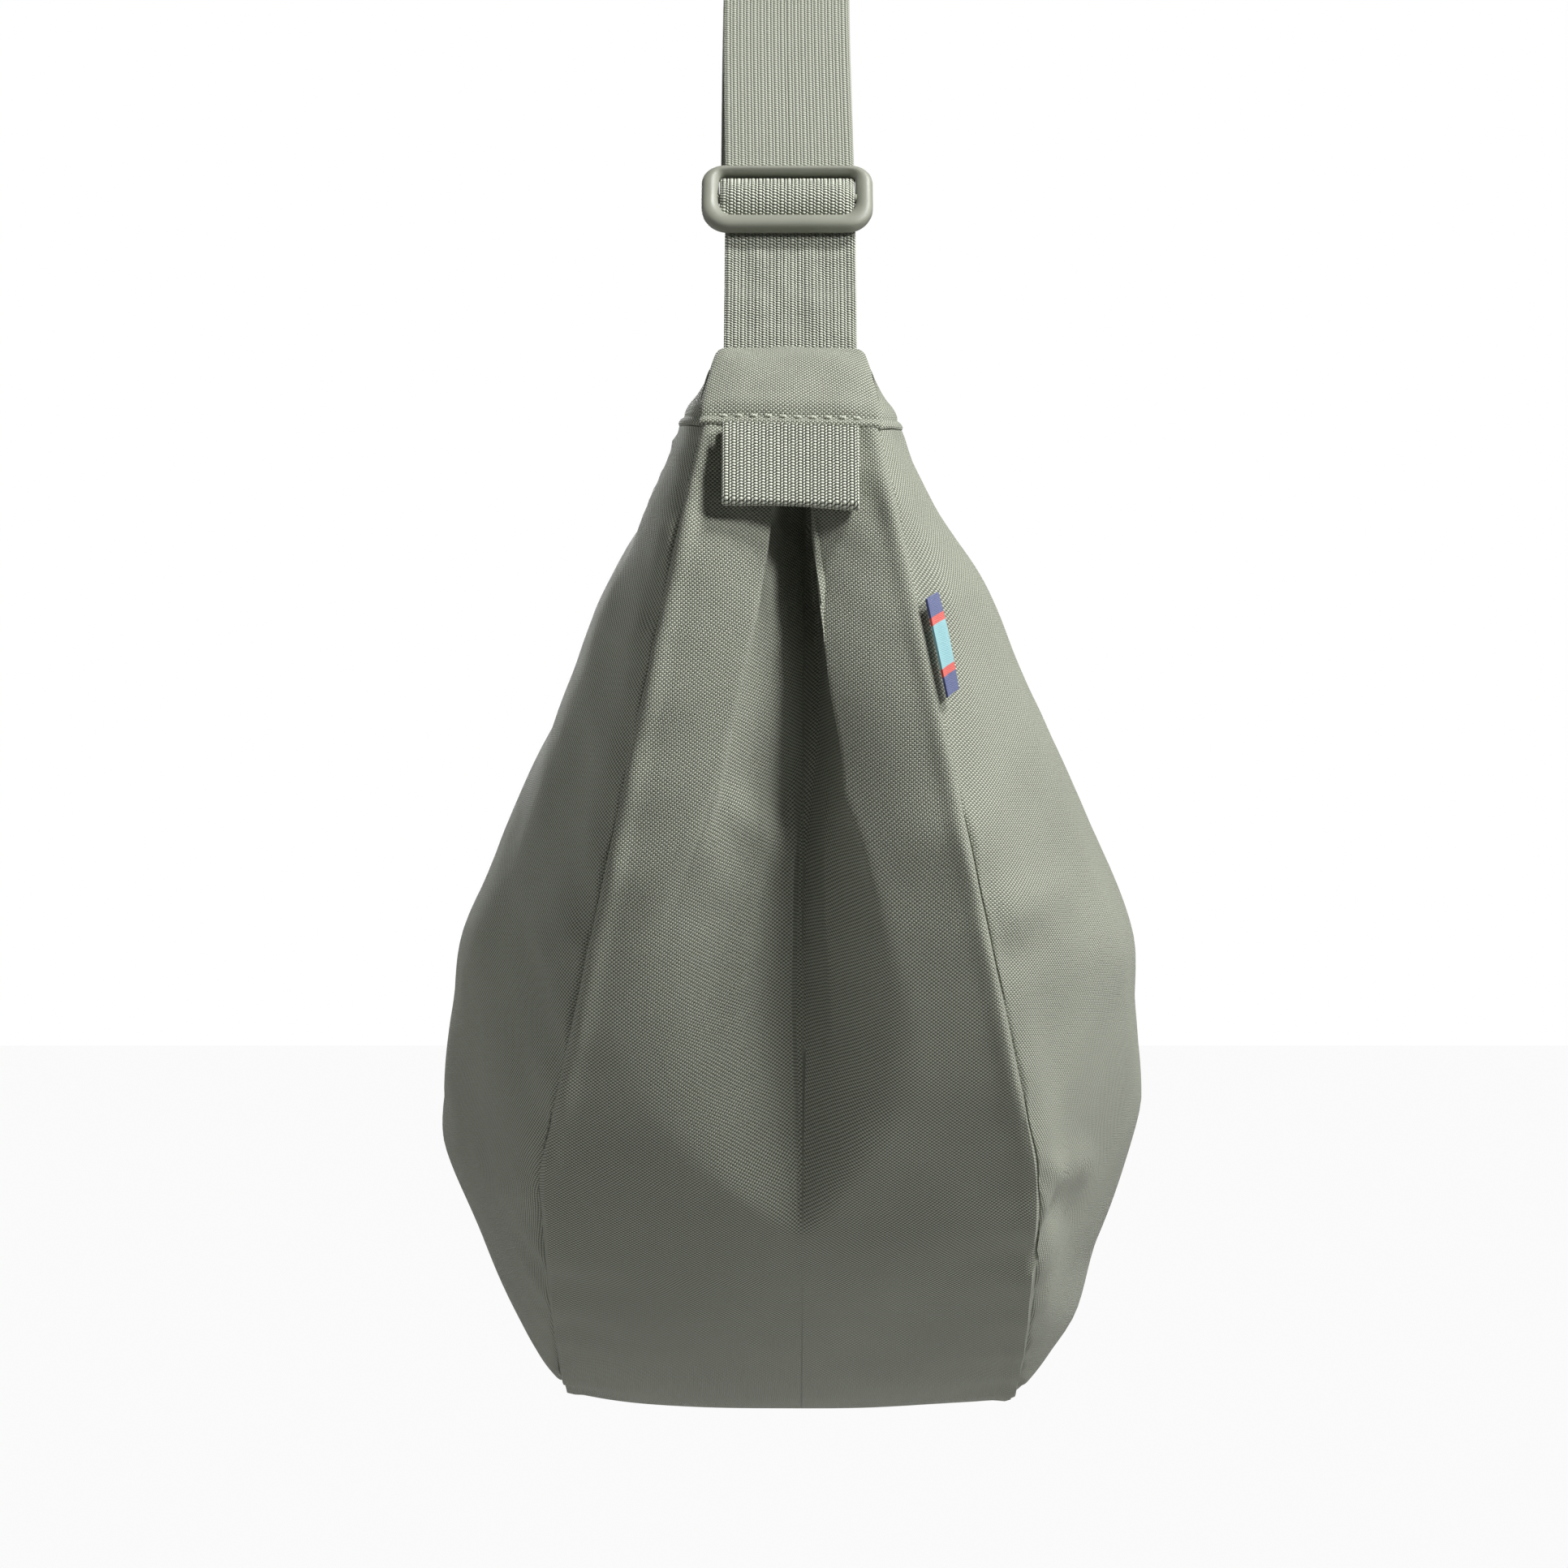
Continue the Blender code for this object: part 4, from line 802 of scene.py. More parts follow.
def side_line(u, t, side):
    """Points of a side panel across one section: t is 0 at the zip's lip and 1 at the base seam."""
    start, direction, depth = section_axis(u)
    spread = (-0.03, -0.01, 0.01, 0.03)
    bulge = np.mean([np.interp(abs(u + d), BULGE_STATIONS, BULGE_HALF_WIDTHS) for d in spread])
    seam = base_half_at(u)
    rise = np.sin(math.pi / 2 * np.clip(t / BULGE_AT_SHARE, 0, 1)) ** BULGE_RISE_POWER
    fall = np.clip((t - BULGE_AT_SHARE) / (1 - BULGE_AT_SHARE), 0, 1)
    upper = ZIP_LIP_HALF + (bulge - ZIP_LIP_HALF) * rise
    lower = seam + (bulge - seam) * (1 - fall**BULGE_FALL_POWER)
    x = np.where(t < BULGE_AT_SHARE, upper, lower)
    along = depth * SEAM_DEPTH_SHARE * t - corner_lift(u, side > 0) * t**4
    z = start[1] + direction[1] * along
    trim = curve_through(z, TRIM_HEIGHTS, TRIM_LEFT if side < 0 else TRIM_RIGHT)
    low_window = TRIM_WINDOW_LEFT if side < 0 else TRIM_WINDOW_RIGHT
    window = smooth_step(t / TRIM_WINDOW_LEFT) * smooth_step((1 - t) / low_window)
    x = x - trim * window * smooth_step((bulge - 0.035) / 0.02)
    return np.stack([side * x, start[0] + direction[0] * along, z], -1)


def pleat_at(u):
    """The pleat's sizes at one station along the strip."""
    return [float(curve_through(abs(u), PLEAT_STATIONS, sizes)) for sizes in PLEAT_SIZES]


def pleat_sink(u, x, spread=0.0):
    """How far the base strip is folded in at widths x, and how far it is pushed sideways.

    With a spread it is a wider and deeper fold, for the lining behind.
    """
    left, steep, right, wall, depth, overhang, rounding, roll, width = pleat_at(u)
    line = PLEAT_LINE_X
    steep = min(steep, 0.6 * left)
    near, far = line - steep - spread, line + right + spread
    at = (line - left - 2 * spread, near, line - spread, line + spread + 1e-6, far + spread)
    lower = depth + spread * min(depth / 0.006, 1.0)
    sinks = (0.0, wall + 0.5 * spread * min(depth / 0.006, 1.0), lower, lower, 0.0)
    tries = np.linspace(-1, 1, PLEAT_SMOOTHING)
    fine = min(rounding, 0.0014)
    far_reach = rounding * (0.5 + 0.5 * smooth_step((rounding - 0.0015) / 0.004))
    reach = np.where(x < line - steep, rounding, np.where(x < line + 0.35 * right, fine, far_reach))
    sink = np.mean([np.interp(x + reach * t, at, sinks) for t in tries], axis=0)
    outside = np.clip(np.maximum(line - left - x, x - line - right) / width, 0, 1)
    rolled = roll * (1 - outside) ** 2
    if spread > 0:
        return sink + rolled + spread / 3 * smooth_step((sink + rolled) / 0.002), 0 * sink
    part = np.clip(sink / max(wall, 1e-6), 0, 1)
    under = smooth_step(part / 0.22) * (1 - smooth_step((part - 0.22) / 0.78))
    deep = smooth_step(sink / max(0.10 * depth, 1e-6))
    lower = np.clip((sink - wall) / max(depth - wall, 1e-6), 0, 1)
    left_shift = -0.75 * overhang * under + overhang * lower
    return sink + rolled, np.where(x < line, left_shift, overhang * deep)


def base_line(u, x, pleated=True, spread=0.0):
    """Points of the base strip across one section at widths x."""
    start, direction, depth = section_axis(u)
    half = base_half_at(u)
    share = x / half
    crown = (1 - SEAM_DEPTH_SHARE) * depth * (1 - share**2)
    bottom = BASE_CROWN * (1 - share**2) * smooth_step(1 - abs(u) / BASE_FULL_SHARE)
    sink, shift = pleat_sink(u, x, spread)
    if not pleated:
        sink, shift = 0 * sink, 0 * shift
    along = depth * SEAM_DEPTH_SHARE + crown + bottom - sink - corner_lift(u, x > 0) * share**4
    return np.stack([x + shift, start[0] + direction[0] * along, start[1] + direction[1] * along], -1)


def column_shares(count):
    """Shares of a side panel's depth, gathered near its seam."""
    near_seam = count // 4
    wide = SEAM_BAND_SHARE * np.linspace(0.0, 1.0, count - near_seam, endpoint=False) ** 1.2
    return np.concatenate([wide, np.linspace(SEAM_BAND_SHARE, 1.0, near_seam + 1)])


def cloth_thickness(count, name):
    """The cloth's thickness by column: drawn thin where the pleat folds tightly."""
    thickness = np.full(count, FABRIC_THICKNESS)
    if name.startswith("base"):
        column = np.arange(count)
        first, last = PLEAT_COLUMNS[0], sum(PLEAT_COLUMNS[:-1])
        folded = smooth_step((column - first + 12) / 8) * smooth_step((last + 10 - column) / 8)
        thickness *= 1 - PLEAT_THINNING * folded
    return thickness


def base_widths(u):
    """Widths of the base strip's columns, gathered where the pleat is."""
    half = base_half_at(u)
    left, steep, right = pleat_at(u)[:3]
    line = PLEAT_LINE_X
    steep = min(steep, 0.6 * left)
    edge = min(0.0020, 0.3 * left)
    marks = [half, line + right + edge, line + right * 0.55, line]
    marks += [line - steep, line - left + edge, line - left - edge, -half]
    parts = [np.linspace(a, b, count, endpoint=False) for a, b, count in zip(marks, marks[1:], PLEAT_COLUMNS)]
    return np.concatenate([*parts, [-half]])


def body_grid(rows, side_steps, spread=0.0):
    """The whole outer face as one grid: front lip, front side, base strip, rear side, rear lip."""
    shares = column_shares(side_steps)
    grid = []
    for u in np.linspace(-1, 1, rows + 1):
        start = section_axis(u)[0]
        lip = np.array([(x, *start) for x in LIP_WIDTHS])
        front = side_line(u, shares[:-1], 1)
        base = base_line(u, base_widths(u), True, spread)
        rear = side_line(u, shares[:-1], -1)
        grid.append(np.concatenate([lip, front, base, rear[::-1], lip[::-1] * MIRROR]))
    return sloped(grid)


def sloped(points):
    """The hems run a little downhill towards +X."""
    points = np.array(points)
    near_hem = smooth_step((points[..., 2] - HEM_Z + 0.040) / 0.035)
    points[..., 2] -= HEM_SLOPE * points[..., 0] * near_hem
    return points


def cloth_offsets(grid):
    """The seams' grooves, the pull of the stitches and the soft unevenness of filled cloth."""
    rows, columns = grid.shape[:2]
    seam_front = LIP_COLUMNS + SIDE_STEPS
    seam_rear = columns - 1 - seam_front
    along = lengths_along(grid[:, seam_front])[:, None]
    offset = np.zeros((rows, columns))
    hem_near = 1 - np.abs(np.linspace(-1, 1, rows)[:, None])
    run = runs_across(grid)
    for seam, seed, sign in ((seam_front, 3, 1), (seam_rear, 4, -1)):
        inward = (run - run[:, seam : seam + 1]) * sign
        away = np.abs(inward)
        step_width = np.where(inward < 0, SEAM_STEP_PANEL_WIDTH, SEAM_STEP_STRIP_WIDTH)
        offset -= SEAM_GROOVE * bell(away, SEAM_GROOVE_WIDTH)
        offset -= SEAM_STEP * bell(away, step_width)
        offset += np.where(inward > 0, SEAM_PUFF, 0.0) * bell(away - SEAM_PUFF_AT, SEAM_PUFF_WIDTH)
        pucker = waves(along, 0 * along, 5, *PUCKER_LENGTHS, seed)
        offset += PUCKER_HEIGHT * pucker * np.exp(-away / PUCKER_REACH) * (1 - bell(away, PUCKER_START))
    clear = smooth_step(hem_near / 0.10) * smooth_step(np.minimum(run, run[:, -1:] - run) / LIP_CLEAR)
    offset += SAG_HEIGHT * waves(along, run, 9, *SAG_LENGTHS, SEED) * clear
    offset += RUMPLE_HEIGHT * waves(along, run, 14, *RUMPLE_LENGTHS, SEED + 1) * clear
    gather = waves(run, 0 * run, 6, *GATHER_LENGTHS, SEED + 2)
    reach = np.exp(-hem_near * ARC_LENGTH / GATHER_REACH) * smooth_step(hem_near / 0.01)
    offset += GATHER_HEIGHT * gather * reach
    return offset, seam_front, seam_rear


def seen_at(points):
    """Where the photograph shows points, in its pixels."""
    depth = points[..., 1] - CAMERA_AT[1]
    px = FRAME_PX / 2 + (points[..., 0] - CAMERA_AT[0]) * FOCAL_PX / depth
    py = FRAME_PX / 2 - (points[..., 2] - CAMERA_AT[2]) * FOCAL_PX / depth
    return np.stack([px, py], -1)


def creases(grid, normals):
    """The soft folds that the photograph shows, on the cloth that faces it, each end fading out."""
    spots = seen_at(grid)
    facing = smooth_step((-normals[..., 1] - 0.03) / 0.15) * (grid[..., 1] < 0)
    offset = np.zeros(grid.shape[:2])
    for start, end, width, height in CREASES:
        line = np.subtract(end, start)
        t = ((spots - start) @ line) / (line @ line)
        nearest = start + np.clip(t, 0, 1)[..., None] * line
        away = np.linalg.norm(spots - nearest, axis=2)
        fading = smooth_step((t + 0.08) / CREASE_FADE) * smooth_step((1.08 - t) / CREASE_FADE)
        offset += height * bell(away, width) * fading * facing
    return offset


def make_body():
    grid = body_grid(ROWS, SIDE_STEPS)
    normals = normals_of(grid)
    offset, seam_front, seam_rear = cloth_offsets(grid)
    offset += creases(grid, normals) + creases(grid * TURNED, normals * TURNED)
    grid = grid + normals * offset[..., None]
    floor, rise = CAD_BOX_FLOOR + FLOOR_ABOVE_CAD, FLOOR_ROUNDING
    low = grid[..., 2] < floor + rise
    grid[..., 2] = np.where(low, floor + rise * np.exp((grid[..., 2] - floor - rise) / rise), grid[..., 2])
    normals = normals_of(grid)
    last = grid.shape[1] - 1
    for name, node, first, final in (
        ("front_panel_cloth", "front_panel", 0, seam_front),
        ("base_strip_cloth", "base_gusset", seam_front, seam_rear),
        ("rear_panel_cloth", "rear_panel", seam_rear, last),
    ):
        part = grid[:, first : final + 1]
        thickness = cloth_thickness(final - first + 1, name)
        inner = part - normals[:, first : final + 1] * thickness[None, :, None]
        part, inner = (drawn_in(face, first > 0, final < last) for face in (part, inner))
        made = sheet_mesh(name, part, inner, panel_uv(part, name), SHELL)
        dress(made, node, "bag")
    return grid, normals, seam_front, seam_rear


def panel_uv(part, name):
    """The cloth laid flat: the grain runs along the base strip, and straight across each side panel."""
    uv = np.zeros((*part.shape[:2], 2))
    for i, u in enumerate(np.linspace(-1, 1, len(part))):
        start, direction, depth = section_axis(u)
        across = lengths_along(part[i])
        if name.startswith("base"):
            line = np.argmin(np.abs(part[i, :, 0] - PLEAT_LINE_X))
            half = base_half_at(u)
            uv[i, :, 0] = np.where(np.arange(len(across)) < line, half - across, across[-1] - across - half)
            uv[i, :, 1] = u * ARC_LENGTH
        else:
            from_seam = across if name.startswith("rear") else across[-1] - across
            uv[i] = start + direction * (depth - from_seam)[:, None]
    return uv


def drawn_in(part, first=True, final=True, ends=True):
    """Draws sewn edges in a little, so that neighbours don't touch."""
    part = np.array(part)
    across = np.swapaxes(part, 0, 1)
    edges = ((across, first, 0, 1), (across, final, -1, -2), (part, ends, 0, 1), (part, ends, -1, -2))
    for lines, on, edge, inner in edges:
        if on:
            lines[edge] += unit(lines[inner] - lines[edge]) * CLEARANCE / 2
    return part


def make_lining():
    """The lining just inside the cloth, in its three pieces."""
    grid = body_grid(LINING_ROWS, LINING_STEPS, LINING_SPREAD)
    normals = normals_of(grid)
    last = grid.shape[1] - 1
    seam_front = LIP_COLUMNS + LINING_STEPS
    seam_rear = last - seam_front
    top = FABRIC_THICKNESS + LINING_BELOW
    for node, first, final in (
        ("front_lining", LIP_COLUMNS, seam_front),
        ("base_lining", seam_front, seam_rear),
        ("rear_lining", seam_rear, last - LIP_COLUMNS),
    ):
        part, out = grid[:, first : final + 1], normals[:, first : final + 1]
        outer, inner = (drawn_in(part - out * sink) for sink in (top, top + LINING_THICKNESS))
        along = lengths_along(outer[:, (final - first) // 2])[:, None]
        uv = np.stack(np.broadcast_arrays(runs_across(outer), along), -1)
        made = sheet_mesh(node + "_cloth", outer, inner, uv, LINING)
        dress(made, node, "bag")


# Webbing


def resampled(path, step):
    """Points of a path at even steps."""
    path = np.asarray(path, float)
    length = lengths_along(path)[-1]
    return at_lengths(path, np.linspace(0, length, max(int(round(length / step)), 2) + 1))


def ribbon(name, path, material=WEB, shift=None, wave=None, knots=False, stretch=1.0):
    """Webbing along (y, z) points: ribs across its width, rounded selvedges, closed ends.

    shift(along) moves it sideways, wave(x, along) lifts it out of its plane.
    """
    path = resampled(path, KNOT_STEP if knots else RIBBON_STEP)
    along = lengths_along(path)
    tangents = unit(np.gradient(path, axis=0))
    across = np.stack([-tangents[:, 1], tangents[:, 0]], 1)
    body = WEBBING_THICKNESS / 2
    half = WEBBING_WIDTH / 2 - body
    face_x = np.linspace(-half, half, RIBS * COLUMNS_PER_RIB + 1)
    edge = np.linspace(math.pi / 2, -math.pi / 2, 7)[1:-1]
    x = np.concatenate([face_x, half + body * np.cos(edge), face_x[::-1], -half - body * np.cos(edge)])
    flat = np.ones(len(face_x))
    flat_n = np.concatenate([flat, np.sin(edge), -flat, -np.sin(edge)])
    cell = np.mod(x / RIB_PITCH + 1000.0, 1.0)
    groove = np.minimum(np.abs(cell - RIB_SPLIT), np.minimum(cell, 1 - cell))
    rib = np.sqrt(np.clip(groove / 0.22, 0, 1))
    face = np.abs(flat_n) > 0.999
    height = np.where(face, body - RIB_DEPTH * (1 - rib), body * np.abs(flat_n))
    rows = []
    for k, (y, z) in enumerate(path):
        n = np.sign(flat_n) * height
        if knots:
            phase = along[k] / KNOT_PITCH + np.where(cell < RIB_SPLIT, 0.0, 0.5)
            knot = np.abs(np.cos(math.pi * phase)) ** 0.7
            n = n - np.where(face, np.sign(flat_n) * RIB_DEPTH * (1 - knot), 0.0)
        if wave is not None:
            n = n + wave(x, along[k])
        spot_x = x * stretch + (shift(along[k]) if shift else 0.0)
        rows.append(np.stack([spot_x, y + across[k, 0] * n, z + across[k, 1] * n], 1))
    uv = np.stack(np.broadcast_arrays(x, along[:, None]), -1)
    return tube_mesh(name, rows, material, uv)


def leg_points(end, points):
    """(s, n) points of a strap leg as (y, z)."""
    return [tuple(leg_place(end, 0.0, s, n)[1:]) for s, n in points]


def hang_arc(radius, steps=48):
    """(y, z) points over the top, from the near leg to the far one."""
    angles = (math.pi / 2 - LEAN) * np.linspace(-1, 1, steps + 1)
    return [(radius * math.sin(a), -HANG_RADIUS + radius * math.cos(a)) for a in angles]


def turn_points(bar_s, bar_n, radius, over, steps=16):
    """(s, n) points round a bar, from its +n side to its -n side, below or over it."""
    angles = np.linspace(0, math.pi, steps + 1)
    return [(bar_s + over * radius * math.sin(a), bar_n + radius * math.cos(a)) for a in angles]


def make_strap():
    """The strap, its root at the near cap, and the loop that holds the ring."""
    upper_bar = RING_START + RING_PITCH
    middle = -LAYER_PITCH / 2
    turn = RING_WIRE / 2 + CLEARANCE + WEBBING_THICKNESS / 2
    inner_end = ROOT_LENGTH + ADJUSTER_HEIGHT / 2
    far = [(upper_bar + WRAP_TAPER * rise, 0.0) for rise in (2.0, 1.5, 1.0)]
    far += [*turn_points(upper_bar, middle, turn, -1), (upper_bar + WRAP_TAPER, -LAYER_PITCH)]
    path = leg_points(-1, [(ROOT_LENGTH + CLEARANCE, 0.0)]) + hang_arc(OUTER_LAYER_RADIUS)
    path += leg_points(1, far) + hang_arc(INNER_LAYER_RADIUS)[::-1]
    path += leg_points(-1, [(inner_end, -LAYER_PITCH)])
    total = lengths_along(np.array(path))[-1]

    def shift(at):
        near_top = -STRAP_DRIFT * smooth_step(at / 0.09)
        settled = near_top * (1 - smooth_step((at - 0.12) / 0.20))
        return settled + BACK_LAYER_SHIFT * smooth_step((at - total + 0.22) / 0.18)

    dress(ribbon("strap_webbing_ribbed", path, shift=shift), "strap_webbing", "strap")

    def wrinkle(x, at):
        height = at - ROOT_IN_CAP
        fade = smooth_step((height - 0.003) / 0.008) * smooth_step((ROOT_LENGTH - height) / 0.006)
        folds = waves(x, 0.35 * at, 5, 0.007, 0.016, 21)
        beyond = at - ROOT_PULL_AT
        pull = bell(beyond, 0.010) * bell(x + 0.006 + 0.5 * beyond, 0.005)
        tucked = smooth_step((height - 0.018) / 0.008) * smooth_step((ROOT_LENGTH - height) / 0.004)
        return fade * (ROOT_FOLD_HEIGHT * folds + ROOT_PULL_HEIGHT * pull) - ROOT_TUCK * tucked

    path = leg_points(-1, [(-ROOT_IN_CAP, 0.0), (0.0, 0.0), (ROOT_LENGTH, 0.0)])
    root = ribbon("strap_root_ribbed", path, ROOT_WEB_PAINTED_LIT, wave=wrinkle, knots=True)
    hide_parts("strap_root_webbing")
    start, end = (leg_place(-1, 0.0, s, 0.0) for s in (0.001, ROOT_LENGTH - 0.0165))
    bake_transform(root)

    outer_n, inner_n = middle + LAYER_PITCH / 2, middle - LAYER_PITCH / 2
    loop = [(-ROOT_IN_CAP, outer_n), (0.0, outer_n), *turn_points(RING_START, middle, turn, 1)]
    loop += [(0.0, inner_n), (-ROOT_IN_CAP, inner_n)]
    ring_loop = ribbon("far_ring_loop_ribbed", leg_points(1, loop), knots=True)
    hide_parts("far_ring_loop")
    start, end = (leg_place(1, 0.0, s, 0.0) for s in (0.0, RING_START - 0.001))
    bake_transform(ring_loop)


def make_tab(end, body):
    """A folded webbing tab under the cap's hem."""
    hem, lower = tab_line(end)
    along = unit(lower - hem)
    out = np.array((0.0, -end * along[2], end * along[1]))
    layer = (WEBBING_THICKNESS + TAB_FOLD_GAP) / 2
    reach = TAB_LENGTH - layer
    top = hem + out * TAB_STAND_OFF + along * TAB_BELOW_HEM
    spots = [(0.0, layer)]
    for s in np.linspace(0.1, 1, 12):
        spots.append((reach * s, layer * (1 + TAB_BULGE_SHARE * math.sin(math.pi * s))))
    turn = np.linspace(0, math.pi, 13)[1:-1]
    spots += [(reach + layer * math.sin(angle), layer * math.cos(angle)) for angle in turn]
    spots += [(reach * s, -layer) for s in np.linspace(1, 0, 6)]
    path = [(top + along * down + out * off)[1:] for down, off in spots]

    def bow(x, at):
        return TAB_BOW * smooth_step(at / 0.006) * waves(x, 0.6 * at, 4, 0.02, 0.05, 31 + end)

    made = ribbon(body + "_folded", path, TAB_WEB_PAINTED_LIT, knots=True, wave=bow)
    for vertex in made.data.vertices:
        vertex.co.z -= TAB_SLOPE * vertex.co.x
    dress(made, body, body)


def tab_line(end):
    """The hem's point that a tab hangs from, and a point under it, as in the part's source."""
    points = []
    for u in (float(end), end * (1 - ROW_ANGLE_SHARE)):
        start, direction, depth = section_axis(u)
        reach = depth + BASE_CROWN * smooth_step(1 - abs(u) / BASE_FULL_SHARE)
        points.append(np.array((0.0, *(start + direction * reach))))
    return points


# Adjuster and ring


def corner_outline(half_x, low, high, low_corner, high_corner, steps=14):
    """Points of a frame's outline, anticlockwise from the right: (x, s) with round corners."""
    points = []
    corners = ((1, high, high_corner), (-1, high, high_corner), (-1, low, low_corner), (1, low, low_corner))
    for quarter, (side_x, edge, (corner_x, corner_s)) in enumerate(corners):
        side_s = 1 if edge == high else -1
        for angle in np.linspace(0, math.pi / 2, steps + 1) + math.pi / 2 * quarter:
            x = side_x * (half_x - corner_x) + corner_x * math.cos(angle)
            points.append((x, edge - side_s * corner_s + corner_s * math.sin(angle)))
    return np.array(points)


def moulded_frame(name, outer, inner, profile, place, material, sharp=FRAME_SHARP):
    """A frame between two matching outlines: profile gives (share, height) round its section."""
    rings = []
    for a, b in zip(outer, inner):
        rings.append([place(*(a + (b - a) * share), height) for share, height in profile])
    return tube_mesh(name, rings, material, closed=True, sharp=sharp)


def rod(name, half, radius, steps, sides, place, material):
    """A round rod across a frame."""
    turn = circle(sides)
    rings = [place(x, radius * np.cos(turn), radius * np.sin(turn)) for x in np.linspace(-half, half, steps)]
    return tube_mesh(name, rings, material)


def make_adjuster():
    """The moulded frame with its bar, and the webbing that turns over the bar inside it."""
    low = ROOT_LENGTH + CLEARANCE
    centre_s, high = low + ADJUSTER_HEIGHT / 2, low + ADJUSTER_HEIGHT
    back_n = WEBBING_THICKNESS / 2 + RUNNING_GAP
    half_n = ADJUSTER_THICKNESS / 2
    middle_n = back_n + half_n
    opening_half = ADJUSTER_WIDTH / 2 - ADJUSTER_SIDE_BAR
    outer = corner_outline(ADJUSTER_WIDTH / 2, low, high, FRAME_LOW_CORNER, FRAME_HIGH_CORNER)
    inner = corner_outline(
        opening_half - 0.0001,
        low + ADJUSTER_LOW_BAR - 0.0003,
        high - ADJUSTER_TOP_BAR + 0.0006,
        OPENING_LOW_CORNER,
        OPENING_HIGH_CORNER,
    )
    outer, inner = matched(outer, inner, FRAME_POINTS)
    profile = [(share, height * half_n) for share, height in FRAME_PROFILE]
    bar_radius = CENTRE_BAR_DIAMETER / 2
    bar_n = bar_radius + CENTRE_BAR_SINK - half_n

    def place(x, s, n):
        return leg_place(-1, x + ADJUSTER_SHIFT, s, n + middle_n)

    def place_bar(x, s, n):
        return place(x, centre_s + s, bar_n + n)

    moulding = moulded_frame("adjuster_moulding", outer, inner, profile, place, PLASTIC)
    bar = rod("adjuster_bar", opening_half + 0.0004, bar_radius, 12, 20, place_bar, PLASTIC)
    for piece in (moulding, bar):
        dress(piece, "adjuster_frame", "adjuster")

    inset = WEBBING_THICKNESS / 2
    low_edge, top_edge = low + ADJUSTER_LOW_BAR - 0.0001, high - ADJUSTER_TOP_BAR + 0.0002
    rest_n = back_n + inset
    over_n = bar_n + middle_n + bar_radius + CLEARANCE + inset
    share = np.linspace(0, 1, 40)
    s = low_edge + inset + (top_edge - low_edge - 2 * inset) * share
    n = rest_n + (over_n - rest_n) * (1 - (2 * share - 1) ** 2)
    path = np.stack([s, n], 1)
    roll_length = lengths_along(path)[-1]

    def droop(x, at):
        ends = smooth_step((abs(x) - 0.0150) / 0.0045)
        right = smooth_step((x - 0.0130) / 0.0060)
        lifted = smooth_step((min(at, roll_length - at) - 0.0006) / 0.0030)
        return -lifted * (ROLL_DROOP * ends + ROLL_DROOP_RIGHT * right)

    def moved(at):
        return ADJUSTER_SHIFT

    ways = {"wave": droop, "shift": moved, "stretch": ROLL_WIDTH_SHARE}
    roll = ribbon("adjuster_roll", leg_points(-1, path), CLOSE_WEB_PAINTED_LIT, knots=True, **ways)
    dress(roll, "adjuster_webbing_turn", "adjuster")


def matched(outer, inner, count):
    """Both outlines as count points that face each other across the frame."""
    outer, inner = spread_evenly(outer, count, True), spread_evenly(inner, 6 * count, True)
    turns = []
    for outline in (outer, inner):
        low, high = outline.min(0), outline.max(0)
        x, s = ((outline - (high + low) / 2) / ((high - low) / 2)).T
        turns.append(np.arctan2(s, x))
    away = np.abs(np.angle(np.exp(1j * (turns[1] - turns[0][:, None]))))
    return outer, inner[np.argmin(away, axis=1)]


def make_ring():
    """The far ring, a rounded rectangle of moulded rod."""
    half_x = (RING_INSIDE_WIDTH + RING_WIRE) / 2
    corner = (RING_CORNER, RING_CORNER)
    outline = corner_outline(half_x, RING_START, RING_START + RING_PITCH, corner, corner)
    outline = spread_evenly(outline, 140, closed=True)
    ahead = unit(np.roll(outline, -1, axis=0) - np.roll(outline, 1, axis=0))
    side = np.stack([ahead[:, 1], -ahead[:, 0]], 1)
    across = RING_WIRE / 2 * np.cos(circle(20))
    up = RING_WIRE / 2 * np.sin(circle(20)) - LAYER_PITCH / 2
    rings = [leg_place(1, *(spot + out * across[:, None]).T, up) for spot, out in zip(outline, side)]
    dress(tube_mesh("far_ring_moulding", rings, PLASTIC, closed=True), "far_ring", "strap")


# Caps and stitches


def around_hem(grid, normals, row, seam_front, seam_rear):
    """The body's edge at one hem, cut at the two seams into front, face and rear."""
    hem = grid[row] + normals[row] * HEM_PROUD
    middle = np.array((0.0, hem[0][1], hem[0][2]))
    front = np.array([middle, *hem[: seam_front + 1]])
    u = -1.0 if row == 0 else 1.0
    out = np.array((0.0, *section_axis(u)[1]))
    face = sloped(base_line(u, base_widths(u), pleated=False)) + out * HEM_PROUD
    rear = np.array([*hem[seam_rear:], middle])
    return front, face, rear


def rounded_top(x, half):
    """How far the cap's top edge stands above its seam line: lower towards its corners."""
    dip = np.clip((np.abs(x) - (half - CAP_TOP_CORNER)) / CAP_TOP_CORNER, 0, 1)
    return CAP_TOP_RISE - CAP_TOP_CORNER * (1 - np.sqrt(np.clip(1 - dip**2, 0, 1)))


